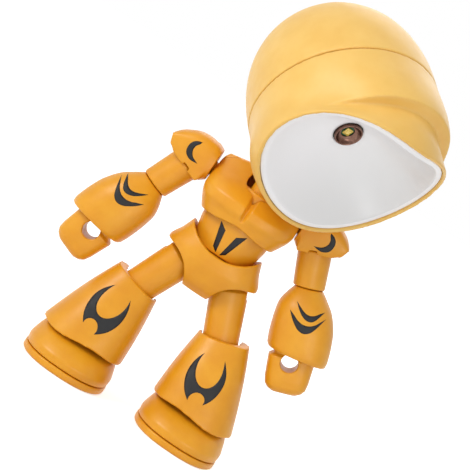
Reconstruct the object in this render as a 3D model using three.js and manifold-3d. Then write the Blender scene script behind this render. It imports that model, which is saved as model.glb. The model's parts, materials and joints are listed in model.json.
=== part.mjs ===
// A robot shaped desk lamp: a jointed figure whose head is a hooded LED lamp.
// Lengths are millimetres, +Z is up, the robot faces -Y and its left side is +X.
// The figure stands on both soles in the pose of the photograph.
import * as THREE from 'three';
import Module from 'manifold-3d';
import { mergeVertices } from 'three/addons/utils/BufferGeometryUtils.js';

const wasm = await Module();
wasm.setup();

// Driving dimensions

const gap = 0.3; // running clearance between neighbouring pieces
const overrun = 2; // how far a cutter passes a face
const weld = 0.0001; // vertices closer than this are one
const limbSlack = 0.45; // wider clearance round a limb that swings in a slot
const roundSides = 16;
const slimSides = 10; // sides of a round bar or bore thinner than slimRadius
const slimRadius = 3.6;
const ovalSides = 24;
const insideSides = 12; // sides of inner walls
const headSides = 36;
const headInsideSides = headSides / 2;

// powers of the rounded sections: 2 is an ellipse, and more is squarer
const squareness = {
  chest: 2.7,
  abdomen: 2.1,
  pelvis: 2.5,
  shin: 2.6,
  foot: 2.35,
  pad: 3,
  forearm: 2.5,
  fist: 3.4,
};

const degrees = Math.PI / 180;

const pin = { radius: 1.5 };

const screw = { shankRadius: 1.3, headRadius: 2.5, headHeight: 1.6, shankLength: 8 };

const head = {
  radius: 39.2, // at the seam between crown and hood
  crownDepth: 47.9,
  wall: 2,
  rimWall: 1.5,
  rimReach: 31.2, // mean distance from the seam to the rim
  rimReachBrow: 4.3, // how much further the rim reaches at the brow
  rimReachSides: 5.4, // how much it draws back at the sides
  rimRadius: 37.6,
  rimFlatten: 3.35,
  rimPinch: 3.8,
  jawSwell: 5.2, // how far the sides swell below the middle and draw in above it, short of the rim
  browReach: 24.8, // from the seam to the edge of the brow
  browRise: 3.3, // how far the brow stands out over the visor band
  browScoop: 1.4, // depth of the scoop under the brow
  scoopLength: 10,
  pivotDrop: 33, // tilt pin below the head's axis
  yaw: 39.6 * degrees,
  pitch: 30.6 * degrees,
  tiltUp: 40 * degrees,
  tiltDown: 2 * degrees,
};
const crownPower = 2.4;
const browFullShare = 0.3; // part of the half turn's right angle where the brow is full
const browEndShare = 0.8;

const reflector = {
  throatRadius: 6.2,
  throatReach: 9.4, // from the seam to the bottom of the bowl
  thickness: 1.2,
  flange: 2.3, // flat band inside the rim
  recess: 1, // how far the band sits back from the rim
};
const bowlPower = 1.7;

const led = {
  cupRadius: 5.85,
  cupDepth: 2.6,
  chip: 3.4,
  chipHeight: 1,
  boardRadius: 9,
  boardThickness: 1.2,
};

const tray = { thickness: 2, cradleHeight: 9, cradleWall: 1.4, postRadius: 8 };

const cell = { radius: 5.25, length: 43.5, tipRadius: 1.9, tipLength: 1, pitch: 11 };
const cellCount = 3;

const contact = { width: 8, height: 9, thickness: 0.5 };

const headBoss = { radius: 4, ringRadius: 34, depth: 7 };
const headBossTurns = [140 * degrees, -140 * degrees];

// tongue of the crown that lies under the hood at the brow
const tongue = { halfWidth: 4, bottom: 32, top: 34.5, reach: 5, depth: 6 };

const button = { radius: 6, edge: 1, proud: 1.2, travel: 1.2, capHeight: 4.2, stemRadius: 1.8 };
const sleeve = { wall: 1.6, length: 6 };
const rocker = { width: 12, depth: 7 };

const neck = {
  setForward: 5, // neck axis in front of the body's middle plane
  rise: 18, // tilt pin above the collar's top
  shaftRadius: 4.3,
  eyeRadius: 4.5,
  eyeWidth: 8.4,
  lugWidth: 3,
  lugDepth: 5.6,
  lugRise: 4.4,
  footRadius: 5.7,
  footHeight: 4.8,
};

// the collar's top lies a sink below the chest's top
const collar = { radius: 7, sink: 6.4, height: 13.9, shoulderHeight: 6.4 };

const chest = {
  bottom: 89.6,
  height: 24.2,
  halfWidth: 22,
  front: 18,
  back: 15,
  wall: 1.4,
  neckRise: 4.2, // how much higher the top is beside the neck than at the shoulders
  neckRisePower: 4, // how fast the rise dies away below the top
  grooveWidth: 5,
  grooveDepth: 2.4,
  grooveBottom: 2.8, // above the chest's bottom
  grooveStart: 0.4, // its depth at the bottom end
  ribHalfWidth: 3, // rib behind the groove
  ribDepth: 5,
  hemArch: 2,
  hemArchWidth: 8,
};
// height, half width, front and back of each section, as shares of the chest's sizes
const chestShares = [
  [0, 0.8, 0.844, 0.973],
  [0.16, 0.9, 0.91, 1],
  [0.306, 0.973, 1, 1],
  [0.42, 1, 0.99, 1],
  [0.52, 1, 0.9, 1],
  [0.65, 0.998, 0.68, 0.995],
  [0.785, 0.985, 0.36, 0.987],
  [0.92, 0.955, 0.05, 0.96],
  [1, 0.895, -0.12, 0.867],
];
const grooveRows = 7; // rows of the table that the breast's groove follows
const chestInsideShares = [0, 2, 4, 6, 7].map((i) => chestShares[i]);
const chestBoss = { radius: 3.2, side: 12.6, drop: 8.8 }; // drop below the chest's top

const abdomen = {
  tuck: 2.6, // part of it inside the chest
  halfWidth: 15.9,
  halfDepth: 13,
};
const abdomenShares = [
  [0, 0.8, 0.815, 0.815],
  [0.22, 0.88, 0.885, 0.885],
  [0.48, 0.945, 0.95, 0.95],
  [0.74, 0.99, 0.99, 0.99],
  [1, 1, 1, 1],
];

const pelvis = {
  bottom: 58.2,
  top: 83.6,
  halfWidth: 22,
  halfDepth: 15.9,
  wall: 1.6,
  cupFloor: 76.2,
  webThickness: 1.3,
  dip: 7.2, // how far the top edge dips at the front
  dipHalfWidth: 16.8,
  legCutRadius: 14.8,
  legCutOut: 21,
  legCutHeight: 56.4,
  hubHalfWidth: 4.4,
  hubHalfDepth: 4,
  hubBottom: 63,
};
const pelvisShares = [
  [0, 0.36, 0.5, 0.5],
  [0.15, 0.78, 0.76, 0.76],
  [0.31, 0.95, 0.9, 0.9],
  [0.548, 1, 1, 1],
  [0.786, 0.87, 0.975, 0.975],
  [1, 0.775, 0.94, 0.94],
];
const pelvisWidest = 3; // row of the table where the pelvis is widest
const waistPost = { radius: 4, top: 86 };

const hip = { out: 10.9, height: 69, ballRadius: 5.4, axleRadius: 2.6, tongueRadius: 4.6, tongueWidth: 4 };

const thigh = {
  lean: 23.6 * degrees,
  length: 27.3, // hip pin to knee pin
  radius: 8.25,
  kneeRadius: 7.7,
  shoulder: 1.6, // where the full round starts below the hip pin
  shoulderEdge: 1,
};

const knee = { bend: 55 * degrees, pinHalf: 9.2 };

const shin = {
  rimDrop: 4.1, // rim's centre above the knee pin
  rimTilt: 14.7 * degrees,
  rimHalfWidth: 10.8,
  rimHalfDepth: 11,
  hemDrop: 28.7, // hem below the knee pin
  hemHalfWidth: 19.3,
  hemFront: 21.5,
  hemBack: 15.5,
  hemOut: 6.1, // hem's middle further out than the knee
  hemWave: 0.9, // height of the hem's wave at the front
  hemWaves: 1.2, // half waves from the middle to the side
  hemWavePower: 4, // how fast the wave dies away above the hem
  swell: 1.1, // how far the sides stand out half way down
  wall: 1.7,
  webTop: 10.5, // web below the knee pin
  webThickness: 3,
  bendRoomStart: 2.7, // where the room of the bent thigh starts, behind the knee pin
};
const shinRowShares = [0, 0.2, 0.45, 0.75, 1];
const shinInsideShares = [0, 0.45, 1];

const ankle = { out: 5.4, drop: 23, cheekThickness: 2.6, cheekRadius: 4.3, tongueWidth: 6 };

const foot = {
  halfWidth: 19.7,
  front: 27,
  back: 17,
  soleThickness: 3.2,
  soleEdge: 0.8,
  upperTop: 15.2,
  middleOut: 28, // foot's middle from the body's middle plane
};
// height, half width, front and back of the foot's upper, as shares
const footShares = [
  [0, 0.985, 0.99, 0.99],
  [0.25, 1, 1, 1],
  [0.5, 0.965, 0.94, 0.96],
  [0.75, 0.915, 0.815, 0.89],
  [0.92, 0.85, 0.67, 0.78],
  [1, 0.76, 0.55, 0.66],
];

const shoulder = {
  setBack: 3.5, // arm's plane behind the body's middle plane
  drop: 8.8, // axle below the chest's top
  axleRadius: 3.2,
  flangeRadius: 4.6,
  flangeThickness: 1.6,
  flangeSet: 4.2, // from the pad's inner face to the flange inside the chest
  inner: 22.5,
  width: 21.5,
  halfHeight: 9.15,
  halfDepth: 9.5,
  wall: 1.5,
  pinCover: 0.9, // wall over the end of the raise pin
};
// station along the pad, centre height, half height and half depth as shares of the half height and depth
const padShares = [
  [0, 0.17, 0.8, 0.95],
  [0.163, 0.126, 1, 1],
  [0.35, 0.23, 0.95, 1],
  [0.58, 0.295, 0.82, 0.99],
  [0.814, 0.262, 0.59, 0.96],
  [0.953, 0.273, 0.317, 0.92],
  [1, 0.36, 0.1, 0.86],
];

const upperArm = {
  out: 32, // raise pin from the body's middle plane
  drop: 3, // raise pin below the shoulder's axle
  lean: 24.05 * degrees,
  length: 17.75, // raise pin to the elbow's face
  radius: 7.3,
  ballRadius: 5.6,
  lowRadius: 6.8,
  shoulder: 2,
  raise: 35 * degrees,
  lower: 5 * degrees,
  spigotRadius: 3,
  spigotLength: 6,
  flangeRadius: 4.2,
  flangeThickness: 1.8,
};

const forearm = {
  lean: 20.5 * degrees,
  length: 29.2,
  bottomHalfWidth: 13.7,
  depthShare: 0.93,
  outward: 1.6, // bell's mouth further out than its axis
  mouthSlope: 0.18, // how much lower the mouth lies per length further out
  mouthSlopePower: 4,
  wall: 1.7,
  mouthDepth: 3.4,
  floor: 2.4,
  cavityTop: 3.2,
};
// station along the forearm, half width and outward shift as shares
const forearmShares = [
  [0, 0.44, 0.1],
  [0.035, 0.5, 0.1],
  [0.14, 0.665, 0.1],
  [0.28, 0.84, 0.3],
  [0.42, 0.925, 0.6],
  [0.6, 0.985, 0.9],
  [0.78, 1, 1],
  [0.93, 0.985, 1.05],
  [1, 0.93, 1.05],
];
const forearmInsideShares = [0, 2, 4, 6, 7, 8].map((i) => forearmShares[i]);

const fist = {
  halfWidth: 10.1,
  halfDepth: 7.8,
  length: 20.1,
  stem: 3.9, // part inside the bell, small enough to turn there
  stemHalfWidth: 8.3,
  stemHalfDepth: 6.6,
  bevel: 2.4,
  notchDrop: 13.3, // notch between thumb and fingers
  holeRadius: 3.85,
  holeDrop: 6.9,
  holeIn: 0.5,
  grooveWidth: 1,
  grooveDepth: 1,
  notchRadius: 1.2,
  spigotRadius: 3.4,
  flangeRadius: 4.6,
  flangeThickness: 1.6,
};
// distance along the fist, half width and half depth below its stem, as shares
const fistShares = [
  [0, 1, 1],
  [0.62, 0.94, 0.98],
  [0.82, 0.88, 0.93],
  [0.93, 0.75, 0.82],
  [1, 0.56, 0.66],
];

// Derived heights

chest.top = chest.bottom + chest.height;
chestBoss.height = chest.top - chestBoss.drop;
collar.top = chest.top - collar.sink;
collar.bottom = collar.top - collar.height;
neck.pivotHeight = collar.top + neck.rise;
abdomen.bottom = pelvis.cupFloor + gap;
abdomen.top = chest.bottom + abdomen.tuck;
shoulder.height = chest.top - shoulder.drop;
upperArm.height = shoulder.height - upperArm.drop;

// Solids

function toSolid(geometry) {
  const bare = geometry.clone();
  bare.deleteAttribute('normal');
  bare.deleteAttribute('uv');
  const merged = mergeVertices(bare, weld);
  const triVerts = Uint32Array.from(merged.index.array);
  const vertProperties = Float32Array.from(merged.attributes.position.array);
  if (signedVolume(vertProperties, triVerts) < 0) {
    triVerts.reverse();
  }
  return new wasm.Manifold(new wasm.Mesh({ numProp: 3, vertProperties, triVerts }));
}

function signedVolume(positions, corners) {
  const [a, b, c] = [new THREE.Vector3(), new THREE.Vector3(), new THREE.Vector3()];
  let sum = 0;
  for (let i = 0; i < corners.length; i += 3) {
    a.fromArray(positions, corners[i] * 3);
    b.fromArray(positions, corners[i + 1] * 3);
    c.fromArray(positions, corners[i + 2] * 3);
    sum += a.dot(b.cross(c));
  }
  return sum;
}

function toGeometry(solid) {
  const mesh = solid.getMesh();
  const geometry = new THREE.BufferGeometry();
  geometry.setAttribute('position', new THREE.BufferAttribute(Float32Array.from(mesh.vertProperties), 3));
  geometry.setIndex(Array.from(mesh.triVerts));
  return geometry;
}

const at = (x, y, z) => new THREE.Vector3(x, y, z);

const sidesFor = (radius) => (radius < slimRadius ? slimSides : roundSides);

// a round bar from one point to another
function rod(radius, start, end, endRadius = radius, sides = sidesFor(radius)) {
  const along = end.clone().sub(start);
  const geometry = new THREE.CylinderGeometry(endRadius, radius, along.length(), sides);
  geometry.applyQuaternion(new THREE.Quaternion().setFromUnitVectors(at(0, 1, 0), along.clone().normalize()));
  const middle = start.clone().add(end).multiplyScalar(0.5);
  geometry.translate(middle.x, middle.y, middle.z);
  return toSolid(geometry);
}

// a box between two corners
function block(low, high) {
  const size = high.clone().sub(low);
  const middle = high.clone().add(low).multiplyScalar(0.5);
  const geometry = new THREE.BoxGeometry(size.x, size.y, size.z);
  geometry.translate(middle.x, middle.y, middle.z);
  return toSolid(geometry);
}

function ball(radius, centre) {
  const geometry = new THREE.SphereGeometry(radius, roundSides, roundSides / 2);
  geometry.rotateX(Math.PI / 2);
  geometry.translate(centre.x, centre.y, centre.z);
  return toSolid(geometry);
}

// a solid of revolution about Z from [radius, height] points that start and end on the axis
function turned(profile, sides = roundSides) {
  const points = profile.map(([r, z]) => new THREE.Vector2(r, z));
  const geometry = new THREE.LatheGeometry(points, sides);
  geometry.rotateX(Math.PI / 2);
  return toSolid(geometry);
}

// a closed solid through rows of points; looped rows make a ring, otherwise the ends are capped
function skin(rows, looped = false) {
  const positions = [];
  const corners = [];
  const starts = [];
  for (const row of rows) {
    starts.push(positions.length / 3);
    row.forEach((point) => positions.push(point.x, point.y, point.z));
  }
  const bands = looped ? rows.length : rows.length - 1;
  for (let i = 0; i < bands; i += 1) {
    const j = (i + 1) % rows.length;
    const count = Math.max(rows[i].length, rows[j].length);
    for (let k = 0; k < count; k += 1) {
      const next = (k + 1) % count;
      const [a, b] = [starts[i] + (k % rows[i].length), starts[i] + (next % rows[i].length)];
      const [c, d] = [starts[j] + (k % rows[j].length), starts[j] + (next % rows[j].length)];
      if (a !== b) corners.push(a, b, d);
      if (c !== d) corners.push(a, d, c);
    }
  }
  if (!looped) {
    capRow(positions, corners, rows[0], starts[0], true);
    capRow(positions, corners, rows.at(-1), starts.at(-1), false);
  }
  const geometry = new THREE.BufferGeometry();
  geometry.setAttribute('position', new THREE.Float32BufferAttribute(positions, 3));
  geometry.setIndex(corners);
  return toSolid(geometry);
}

function capRow(positions, corners, row, start, first) {
  if (row.length === 1) return;
  const centre = row.reduce((sum, point) => sum.add(point), at(0, 0, 0)).divideScalar(row.length);
  const middle = positions.length / 3;
  positions.push(centre.x, centre.y, centre.z);
  for (let k = 0; k < row.length; k += 1) {
    const [a, b] = [start + k, start + ((k + 1) % row.length)];
    corners.push(middle, first ? b : a, first ? a : b);
  }
}

// one rounded section in a level plane, from its front and back reach
function oval(z, half, front, back, power, x = 0, sides = ovalSides) {
  const row = [];
  for (let k = 0; k < sides; k += 1) {
    const turn = (k / sides) * 2 * Math.PI;
    const [c, s] = [Math.cos(turn), Math.sin(turn)];
    const depth = (front + back) / 2;
    const px = half * Math.sign(c) * Math.abs(c) ** (2 / power);
    const py = depth * Math.sign(s) * Math.abs(s) ** (2 / power);
    row.push(at(x + px, py + (back - front) / 2, z));
  }
  return row;
}

// sections stacked from a table of shares, drawn in by an inset
function stack(size, shares, power, inset = 0, sides = ovalSides) {
  return shares.map(([h, w, f, b]) => {
    const z = size.bottom + h * (size.top - size.bottom);
    return oval(z, w * size.halfWidth - inset, f * size.front - inset, b * size.back - inset, power, 0, sides);
  });
}

// the part of a solid on one side of a plane across an axis
function halfSpace(axis, from, to) {
  const reach = head.radius * 4;
  const low = at(-reach, -reach, -reach);
  const high = at(reach, reach, reach);
  low[axis] = from;
  high[axis] = to;
  return block(low, high);
}

// the room that a bar needs when it hangs along -Z from an axle along X and swings between two angles,
// positive towards -Y
function swingRoom(halfWidth, halfThickness, reach, first, last) {
  const along = (turn, length) => at(0, -length * Math.sin(turn), -length * Math.cos(turn));
  const across = (turn, length) => at(0, -length * Math.cos(turn), length * Math.sin(turn));
  const outline = [
    across(first, -halfThickness),
    across(first, -halfThickness).add(along(first, reach)),
    along((first + last) / 2, reach * Math.SQRT2),
    across(last, halfThickness).add(along(last, reach)),
    across(last, halfThickness),
  ];
  const row = (x) => outline.map((point) => point.clone().setX(x));
  const axleRoom = rod(halfThickness, at(-halfWidth, 0, 0), at(halfWidth, 0, 0));
  return skin([row(-halfWidth), row(halfWidth)]).add(axleRoom);
}

const smooth = (low, high, value) => {
  const share = Math.min(1, Math.max(0, (value - low) / (high - low)));
  return share * share * (3 - 2 * share);
};

// Materials

const finish = (color, roughness, metalness = 0) => ({ color, roughness, metalness });
const finishes = {
  headYellow: finish(0xf3bb52, 0.45),
  bodyOrange: finish(0xf2a53a, 0.42),
  white: finish(0xf0f0f0, 0.35),
  chrome: finish(0x6b5048, 0.2, 0.9),
  phosphor: finish(0xf4d85a, 0.4),
  steel: finish(0xb8babc, 0.3, 1),
  black: finish(0x202226, 0.5),
  cellBlue: finish(0x3a5d8c, 0.4),
  board: finish(0x2e6b46, 0.5),
};

function add(parent, name, solid, look, side = 1) {
  const geometry = toGeometry(solid);
  if (side < 0) {
    geometry.scale(-1, 1, 1);
    geometry.setIndex(Array.from(geometry.index.array).reverse());
  }
  geometry.computeVertexNormals();
  const mesh = new THREE.Mesh(geometry, new THREE.MeshStandardMaterial(look));
  mesh.name = name;
  parent.add(mesh);
  return mesh;
}

// a group at a joint; lean swings its -Z axis outwards on the given side
function jointGroup(parent, name, x, y, z, lean = 0, side = 1) {
  const group = new THREE.Group();
  group.name = name;
  group.position.set(side * x, y, z);
  group.rotation.y = -side * lean;
  parent.add(group);
  return group;
}

// Head shells, in a frame with the seam's centre at the origin, the face along -Y and the brow along +Z

const rimReach = (turn) =>
  head.rimReach + head.rimReachBrow * Math.cos(turn) + head.rimReachSides * Math.cos(2 * turn);
const rimRadius = (turn) =>
  head.rimRadius - head.rimFlatten * Math.cos(turn) - head.rimPinch * Math.cos(2 * turn);

const headPoint = (turn, reach, radius) => at(radius * Math.sin(turn), -reach, radius * Math.cos(turn));

// one closed row round the head's axis, from its distance in front of the seam and its radius
function headRow(reachAt, radiusAt, sides = headSides) {
  const row = [];
  for (let k = 0; k < sides; k += 1) {
    const turn = (k / sides) * 2 * Math.PI;
    const reach = reachAt(turn);
    row.push(headPoint(turn, reach, radiusAt(turn, reach)));
  }
  return row;
}

// the hood without its brow
function hoodBase(turn, reach) {
  const share = (Math.max(0, reach) / rimReach(turn)) ** 2;
  const jaw = -head.jawSwell * Math.sin(turn) ** 2 * Math.cos(turn);
  return head.radius + (rimRadius(turn) - head.radius) * share + jaw * Math.sin(Math.PI * share);
}

const awayFromBrow = (turn) => Math.abs(Math.atan2(Math.sin(turn), Math.cos(turn))) / (Math.PI / 2);
const browWeight = (turn) => 1 - smooth(browFullShare, browEndShare, awayFromBrow(turn));

// outer radius of the hood at a distance in front of the seam
function hoodRadius(turn, reach) {
  const base = hoodBase(turn, reach);
  const brow = browWeight(turn);
  if (reach <= head.browReach) return base + smooth(0, head.browReach, reach) * head.browRise * brow;
  const scoopEnd = head.scoopLength * Math.cos(Math.min(1, awayFromBrow(turn)) * (Math.PI / 2)) + gap;
  const scoop = 1 - smooth(0, scoopEnd, reach - head.browReach);
  return base - head.browScoop * brow * scoop;
}

const hoodInside = (turn, reach) => hoodBase(turn, reach) - head.wall - head.browScoop * browWeight(turn);

const beforeBrowShares = [0, 0.5, 0.86, 1];
const pastBrowShares = [0, 0.3, 0.62, 1];

function hoodSolid() {
  const before = beforeBrowShares.map((share) => headRow(() => share * head.browReach, hoodRadius));
  const past = pastBrowShares.map((share) => {
    const start = head.browReach + gap;
    return headRow((turn) => start + share * (rimReach(turn) - start), hoodRadius);
  });
  const lip = (turn) => rimRadius(turn) - head.rimWall;
  const rebate = reflector.recess + reflector.thickness + gap * 2;
  const inner = [
    headRow(rimReach, lip),
    headRow((turn) => rimReach(turn) - rebate, lip),
    headRow((turn) => rimReach(turn) - rebate * 2, hoodInside),
    headRow((turn) => rimReach(turn) / 2, hoodInside),
    headRow(() => 0, hoodInside),
  ];
  return skin([...before, ...past, ...inner], true);
}

// outer radius of the crown at a distance behind the seam
const domeRadius = (radius, depth, behind) =>
  radius * (1 - Math.min(1, (behind / depth) ** crownPower)) ** (1 / crownPower);

const domeShares = [0, 0.3, 0.54, 0.74, 0.88, 0.97];
const domeInsideShares = [0, 0.25, 0.55, 0.8, 0.95];

function domeRows(shares, radius, depth, sides) {
  const rows = shares.map((share) => {
    const behind = gap + share * (depth - gap);
    return headRow(() => -behind, () => domeRadius(radius, depth, behind), sides);
  });
  return [...rows, [headPoint(0, -depth, 0)]];
}

const crownOuter = () => skin(domeRows(domeShares, head.radius, head.crownDepth, headSides));
const crownInner = () => {
  const [radius, depth] = [head.radius - head.wall, head.crownDepth - head.wall];
  const rows = domeRows(domeInsideShares, radius, depth, headInsideSides);
  const mouth = rows[0].map((point) => point.clone().add(at(0, -overrun, 0)));
  return skin([mouth, ...rows]);
};

// the neck's way into the head: its eye, and its shaft at every tilt
function neckSlot() {
  const width = neck.eyeWidth / 2 + gap;
  const reach = (head.radius - head.pivotDrop) * 2;
  const first = head.pitch - head.tiltUp;
  const last = head.pitch + head.tiltDown;
  return swingRoom(width, neck.eyeRadius + gap, reach, first, last).translate([0, gap / 2, -head.pivotDrop]);
}

// ears beside the neck's eye, which hold the tilt pin between crown and hood
function neckEars(outerSolid, from, to) {
  const inner = neck.eyeWidth / 2 + gap;
  const outer = inner + neck.lugWidth;
  const top = -head.pivotDrop + neck.lugRise;
  const low = -head.radius - overrun;
  const right = block(at(inner, from, low), at(outer, to, top));
  const left = block(at(-outer, from, low), at(-inner, to, top));
  return right.add(left).intersect(outerSolid);
}

const tiltPinHole = () => {
  const half = neck.eyeWidth / 2 + neck.lugWidth + gap + overrun;
  const hole = rod(pin.radius + gap, at(-half, 0, 0), at(half, 0, 0));
  return hole.translate([0, gap / 2, -head.pivotDrop]);
};

const bossPoint = (turn, reach) => headPoint(turn, reach, headBoss.ringRadius);
const bossRods = (radius, from, to) =>
  headBossTurns
    .map((turn) => rod(radius, bossPoint(turn, from), bossPoint(turn, to)))
    .reduce((all, one) => all.add(one));

function crownTongue(outer) {
  const { halfWidth, bottom, top, reach, depth } = tongue;
  const root = block(at(-halfWidth, gap, bottom), at(halfWidth, depth, head.radius));
  const tip = block(at(-halfWidth, -reach, bottom), at(halfWidth, depth, top));
  return root.intersect(outer).add(tip);
}

function crownShell() {
  const outer = crownOuter();
  const depth = head.crownDepth;
  const boss = bossRods(headBoss.radius, -depth, -tray.thickness - gap * 2).intersect(outer);
  const sleeveOuter = button.radius + gap + sleeve.wall;
  const sleeveEnd = depth - head.wall - sleeve.length;
  const tube = rod(sleeveOuter, at(0, depth, 0), at(0, sleeveEnd, 0)).intersect(outer);
  const ears = neckEars(outer, gap, gap + neck.lugDepth);
  const seat = -tray.thickness - gap - screw.shankLength / 2;
  return outer
    .subtract(crownInner())
    .add(boss)
    .add(tube)
    .add(ears)
    .add(crownTongue(outer))
    .subtract(bossRods(screw.headRadius + gap, -depth - overrun, seat))
    .subtract(bossRods(screw.shankRadius + gap, seat - gap, overrun))
    .subtract(rod(button.radius + gap, at(0, depth + overrun, 0), at(0, sleeveEnd - overrun, 0)))
    .subtract(neckSlot())
    .subtract(tiltPinHole());
}

function hoodShell() {
  const full = skin([headRow(() => 0, hoodBase), headRow(() => head.browReach, hoodBase)]);
  const boss = bossRods(headBoss.radius, 0, headBoss.depth).intersect(full);
  const ears = neckEars(full, -neck.lugDepth, 0);
  return hoodSolid()
    .add(boss)
    .add(ears)
    .subtract(bossRods(screw.shankRadius + gap, -overrun, headBoss.depth - gap * 2))
    .subtract(neckSlot())
    .subtract(tiltPinHole());
}

function headScrew(turn) {
  const seat = -tray.thickness - gap - screw.shankLength / 2;
  const top = seat - gap;
  const cap = rod(screw.headRadius, bossPoint(turn, top - screw.headHeight), bossPoint(turn, top));
  return cap.add(rod(screw.shankRadius, bossPoint(turn, top - gap), bossPoint(turn, top + screw.shankLength)));
}

const bowlShares = [0, 0.3, 0.54, 0.78, 1];

function reflectorBowl() {
  const face = (turn) => rimReach(turn) - reflector.recess;
  const edge = (turn) => rimRadius(turn) - head.rimWall - gap;
  const bandRow = (back) => headRow((turn) => face(turn) - back, edge);
  const bowlRow = (share, back) => {
    const reachAt = (turn) => {
      const depth = face(turn) - reflector.throatReach;
      return reflector.throatReach + depth * share ** bowlPower - back;
    };
    const radiusAt = (turn) => {
      const mouth = edge(turn) - reflector.flange;
      return reflector.throatRadius + share * (mouth - reflector.throatRadius);
    };
    return headRow(reachAt, radiusAt);
  };
  const front = bowlShares.map((share) => bowlRow(share, 0));
  const back = bowlShares.toReversed().map((share) => bowlRow(share, reflector.thickness));
  return skin([...front, bandRow(0), bandRow(reflector.thickness), ...back], true);
}

// LED, board and battery parts, in the same frame as the shells

const boardFace = reflector.throatReach - reflector.thickness - gap;

function ledBoard() {
  const back = boardFace - led.boardThickness;
  return rod(led.boardRadius, headPoint(0, back, 0), headPoint(0, boardFace, 0));
}

function ledCup() {
  const start = boardFace + gap;
  const end = start + led.cupDepth;
  const inside = led.chip / Math.SQRT2 + gap;
  const floor = start + led.chipHeight / 2;
  const bore = rod(inside, headPoint(0, start - overrun, 0), headPoint(0, end + overrun, 0));
  const dish = rod(inside, headPoint(0, floor, 0), headPoint(0, end + gap, 0), led.cupRadius - gap);
  return rod(led.cupRadius, headPoint(0, start, 0), headPoint(0, end, 0)).subtract(bore).subtract(dish);
}

function ledEmitter() {
  const half = led.chip / 2;
  const start = boardFace + gap;
  return block(at(-half, -start - led.chipHeight, -half), at(half, -start, half));
}

const cellPlace = (i) => (i - (cellCount - 1) / 2) * cell.pitch;
const cellAxis = tray.thickness + gap * 2 + cell.radius; // behind the seam
const cradleHalf = cell.length / 2 + contact.thickness * 2 + cell.tipLength + gap * 3;

function batteryTray() {
  const face = gap * 1.5;
  const plateRadius = head.radius - head.wall - gap;
  const back = -face - tray.thickness + gap / 2;
  const plate = rod(plateRadius, headPoint(0, back, 0), headPoint(0, -face, 0), plateRadius, headInsideSides);
  const post = rod(tray.postRadius, headPoint(0, back, 0), headPoint(0, ledBoardBack() - gap, 0));
  const ears = neck.eyeWidth / 2 + neck.lugWidth + gap * 2;
  const notchTop = -head.pivotDrop + neck.lugRise + gap;
  const notch = block(at(-ears, -overrun, -head.radius), at(ears, overrun * 2, notchTop));
  const side = tongue.halfWidth + gap;
  const tongueNotch = block(at(-side, -overrun, tongue.bottom - gap), at(side, overrun * 2, head.radius));
  const wallOut = cradleHalf + tray.cradleWall;
  const high = cellPlace(cellCount - 1) + cell.pitch / 2 + tray.cradleWall;
  const cradle = block(at(-wallOut, -back - gap, -high), at(wallOut, -back + tray.cradleHeight, high));
  const well = block(
    at(-cradleHalf, -back, -high + tray.cradleWall),
    at(cradleHalf, -back + tray.cradleHeight + overrun, high - tray.cradleWall),
  );
  return plate
    .add(post)
    .add(cradle.subtract(well))
    .subtract(notch)
    .subtract(tongueNotch)
    .subtract(bossRods(screw.shankRadius + gap, back - overrun, overrun));
}

function ledBoardBack() {
  return boardFace - led.boardThickness;
}

// one cell; neighbours lie head to tail
function batteryCell(i) {
  const z = cellPlace(i);
  const way = i % 2 === 0 ? 1 : -1;
  const half = cell.length / 2;
  const can = rod(cell.radius, at(-half, cellAxis, z), at(half, cellAxis, z));
  return can.add(rod(cell.tipRadius, at(0, cellAxis, z), at(way * (half + cell.tipLength), cellAxis, z)));
}

// the strip of contacts at one end of the cells
function contactStrip(way) {
  const x = cradleHalf - gap - contact.thickness;
  const low = cellAxis - contact.height / 2 + gap;
  const half = cellPlace(cellCount - 1) + contact.width / 2;
  const [from, to] = way > 0 ? [x, x + contact.thickness] : [-x - contact.thickness, -x];
  return block(at(from, low, -half), at(to, low + contact.height, half));
}

const sleeveEndPlace = () => head.crownDepth - head.wall - sleeve.length;

function switchBody() {
  const half = rocker.width / 2;
  const back = sleeveEndPlace() - gap;
  return block(at(-half, back - rocker.depth, -half), at(half, back, half));
}

function powerButton() {
  const end = head.crownDepth + button.proud;
  const start = end - button.capHeight;
  const shoulderPlace = at(0, end - button.edge / 2, 0);
  const cap = rod(button.radius, at(0, start, 0), shoulderPlace);
  const crown = rod(button.radius, shoulderPlace, at(0, end, 0), button.radius - button.edge);
  const stemEnd = sleeveEndPlace() + gap + button.travel;
  return cap.add(crown).add(rod(button.stemRadius, at(0, stemEnd, 0), at(0, start + gap, 0)));
}

// Neck and torso, in the body's frame

function neckPost() {
  const foot = collar.bottom + gap;
  const step = foot + neck.footHeight;
  const post = turned([
    [0, foot],
    [neck.footRadius, foot],
    [neck.footRadius, step],
    [neck.shaftRadius, step],
    [neck.shaftRadius, neck.pivotHeight],
    [0, neck.pivotHeight],
  ]);
  const half = neck.eyeWidth / 2;
  const eyeRow = (radius) => rod(radius, at(-half, 0, 0), at(half, 0, 0));
  const eye = eyeRow(neck.eyeRadius).rotate([0, 0, head.yaw / degrees]);
  const high = at(half, neck.eyeRadius, neck.eyeRadius * 2);
  const flat = block(at(-half, -neck.eyeRadius, -neck.eyeRadius * 3), high);
  const trimmed = post.intersect(
    flat
      .rotate([0, 0, head.yaw / degrees])
      .translate([0, 0, neck.pivotHeight])
      .add(halfSpace('z', 0, neck.pivotHeight - neck.eyeRadius * 2)),
  );
  const hole = rod(pin.radius + gap, at(-head.radius, 0, 0), at(head.radius, 0, 0));
  return trimmed
    .add(eye.translate([0, 0, neck.pivotHeight]))
    .subtract(hole.rotate([0, 0, head.yaw / degrees]).translate([0, 0, neck.pivotHeight]));
}

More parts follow.
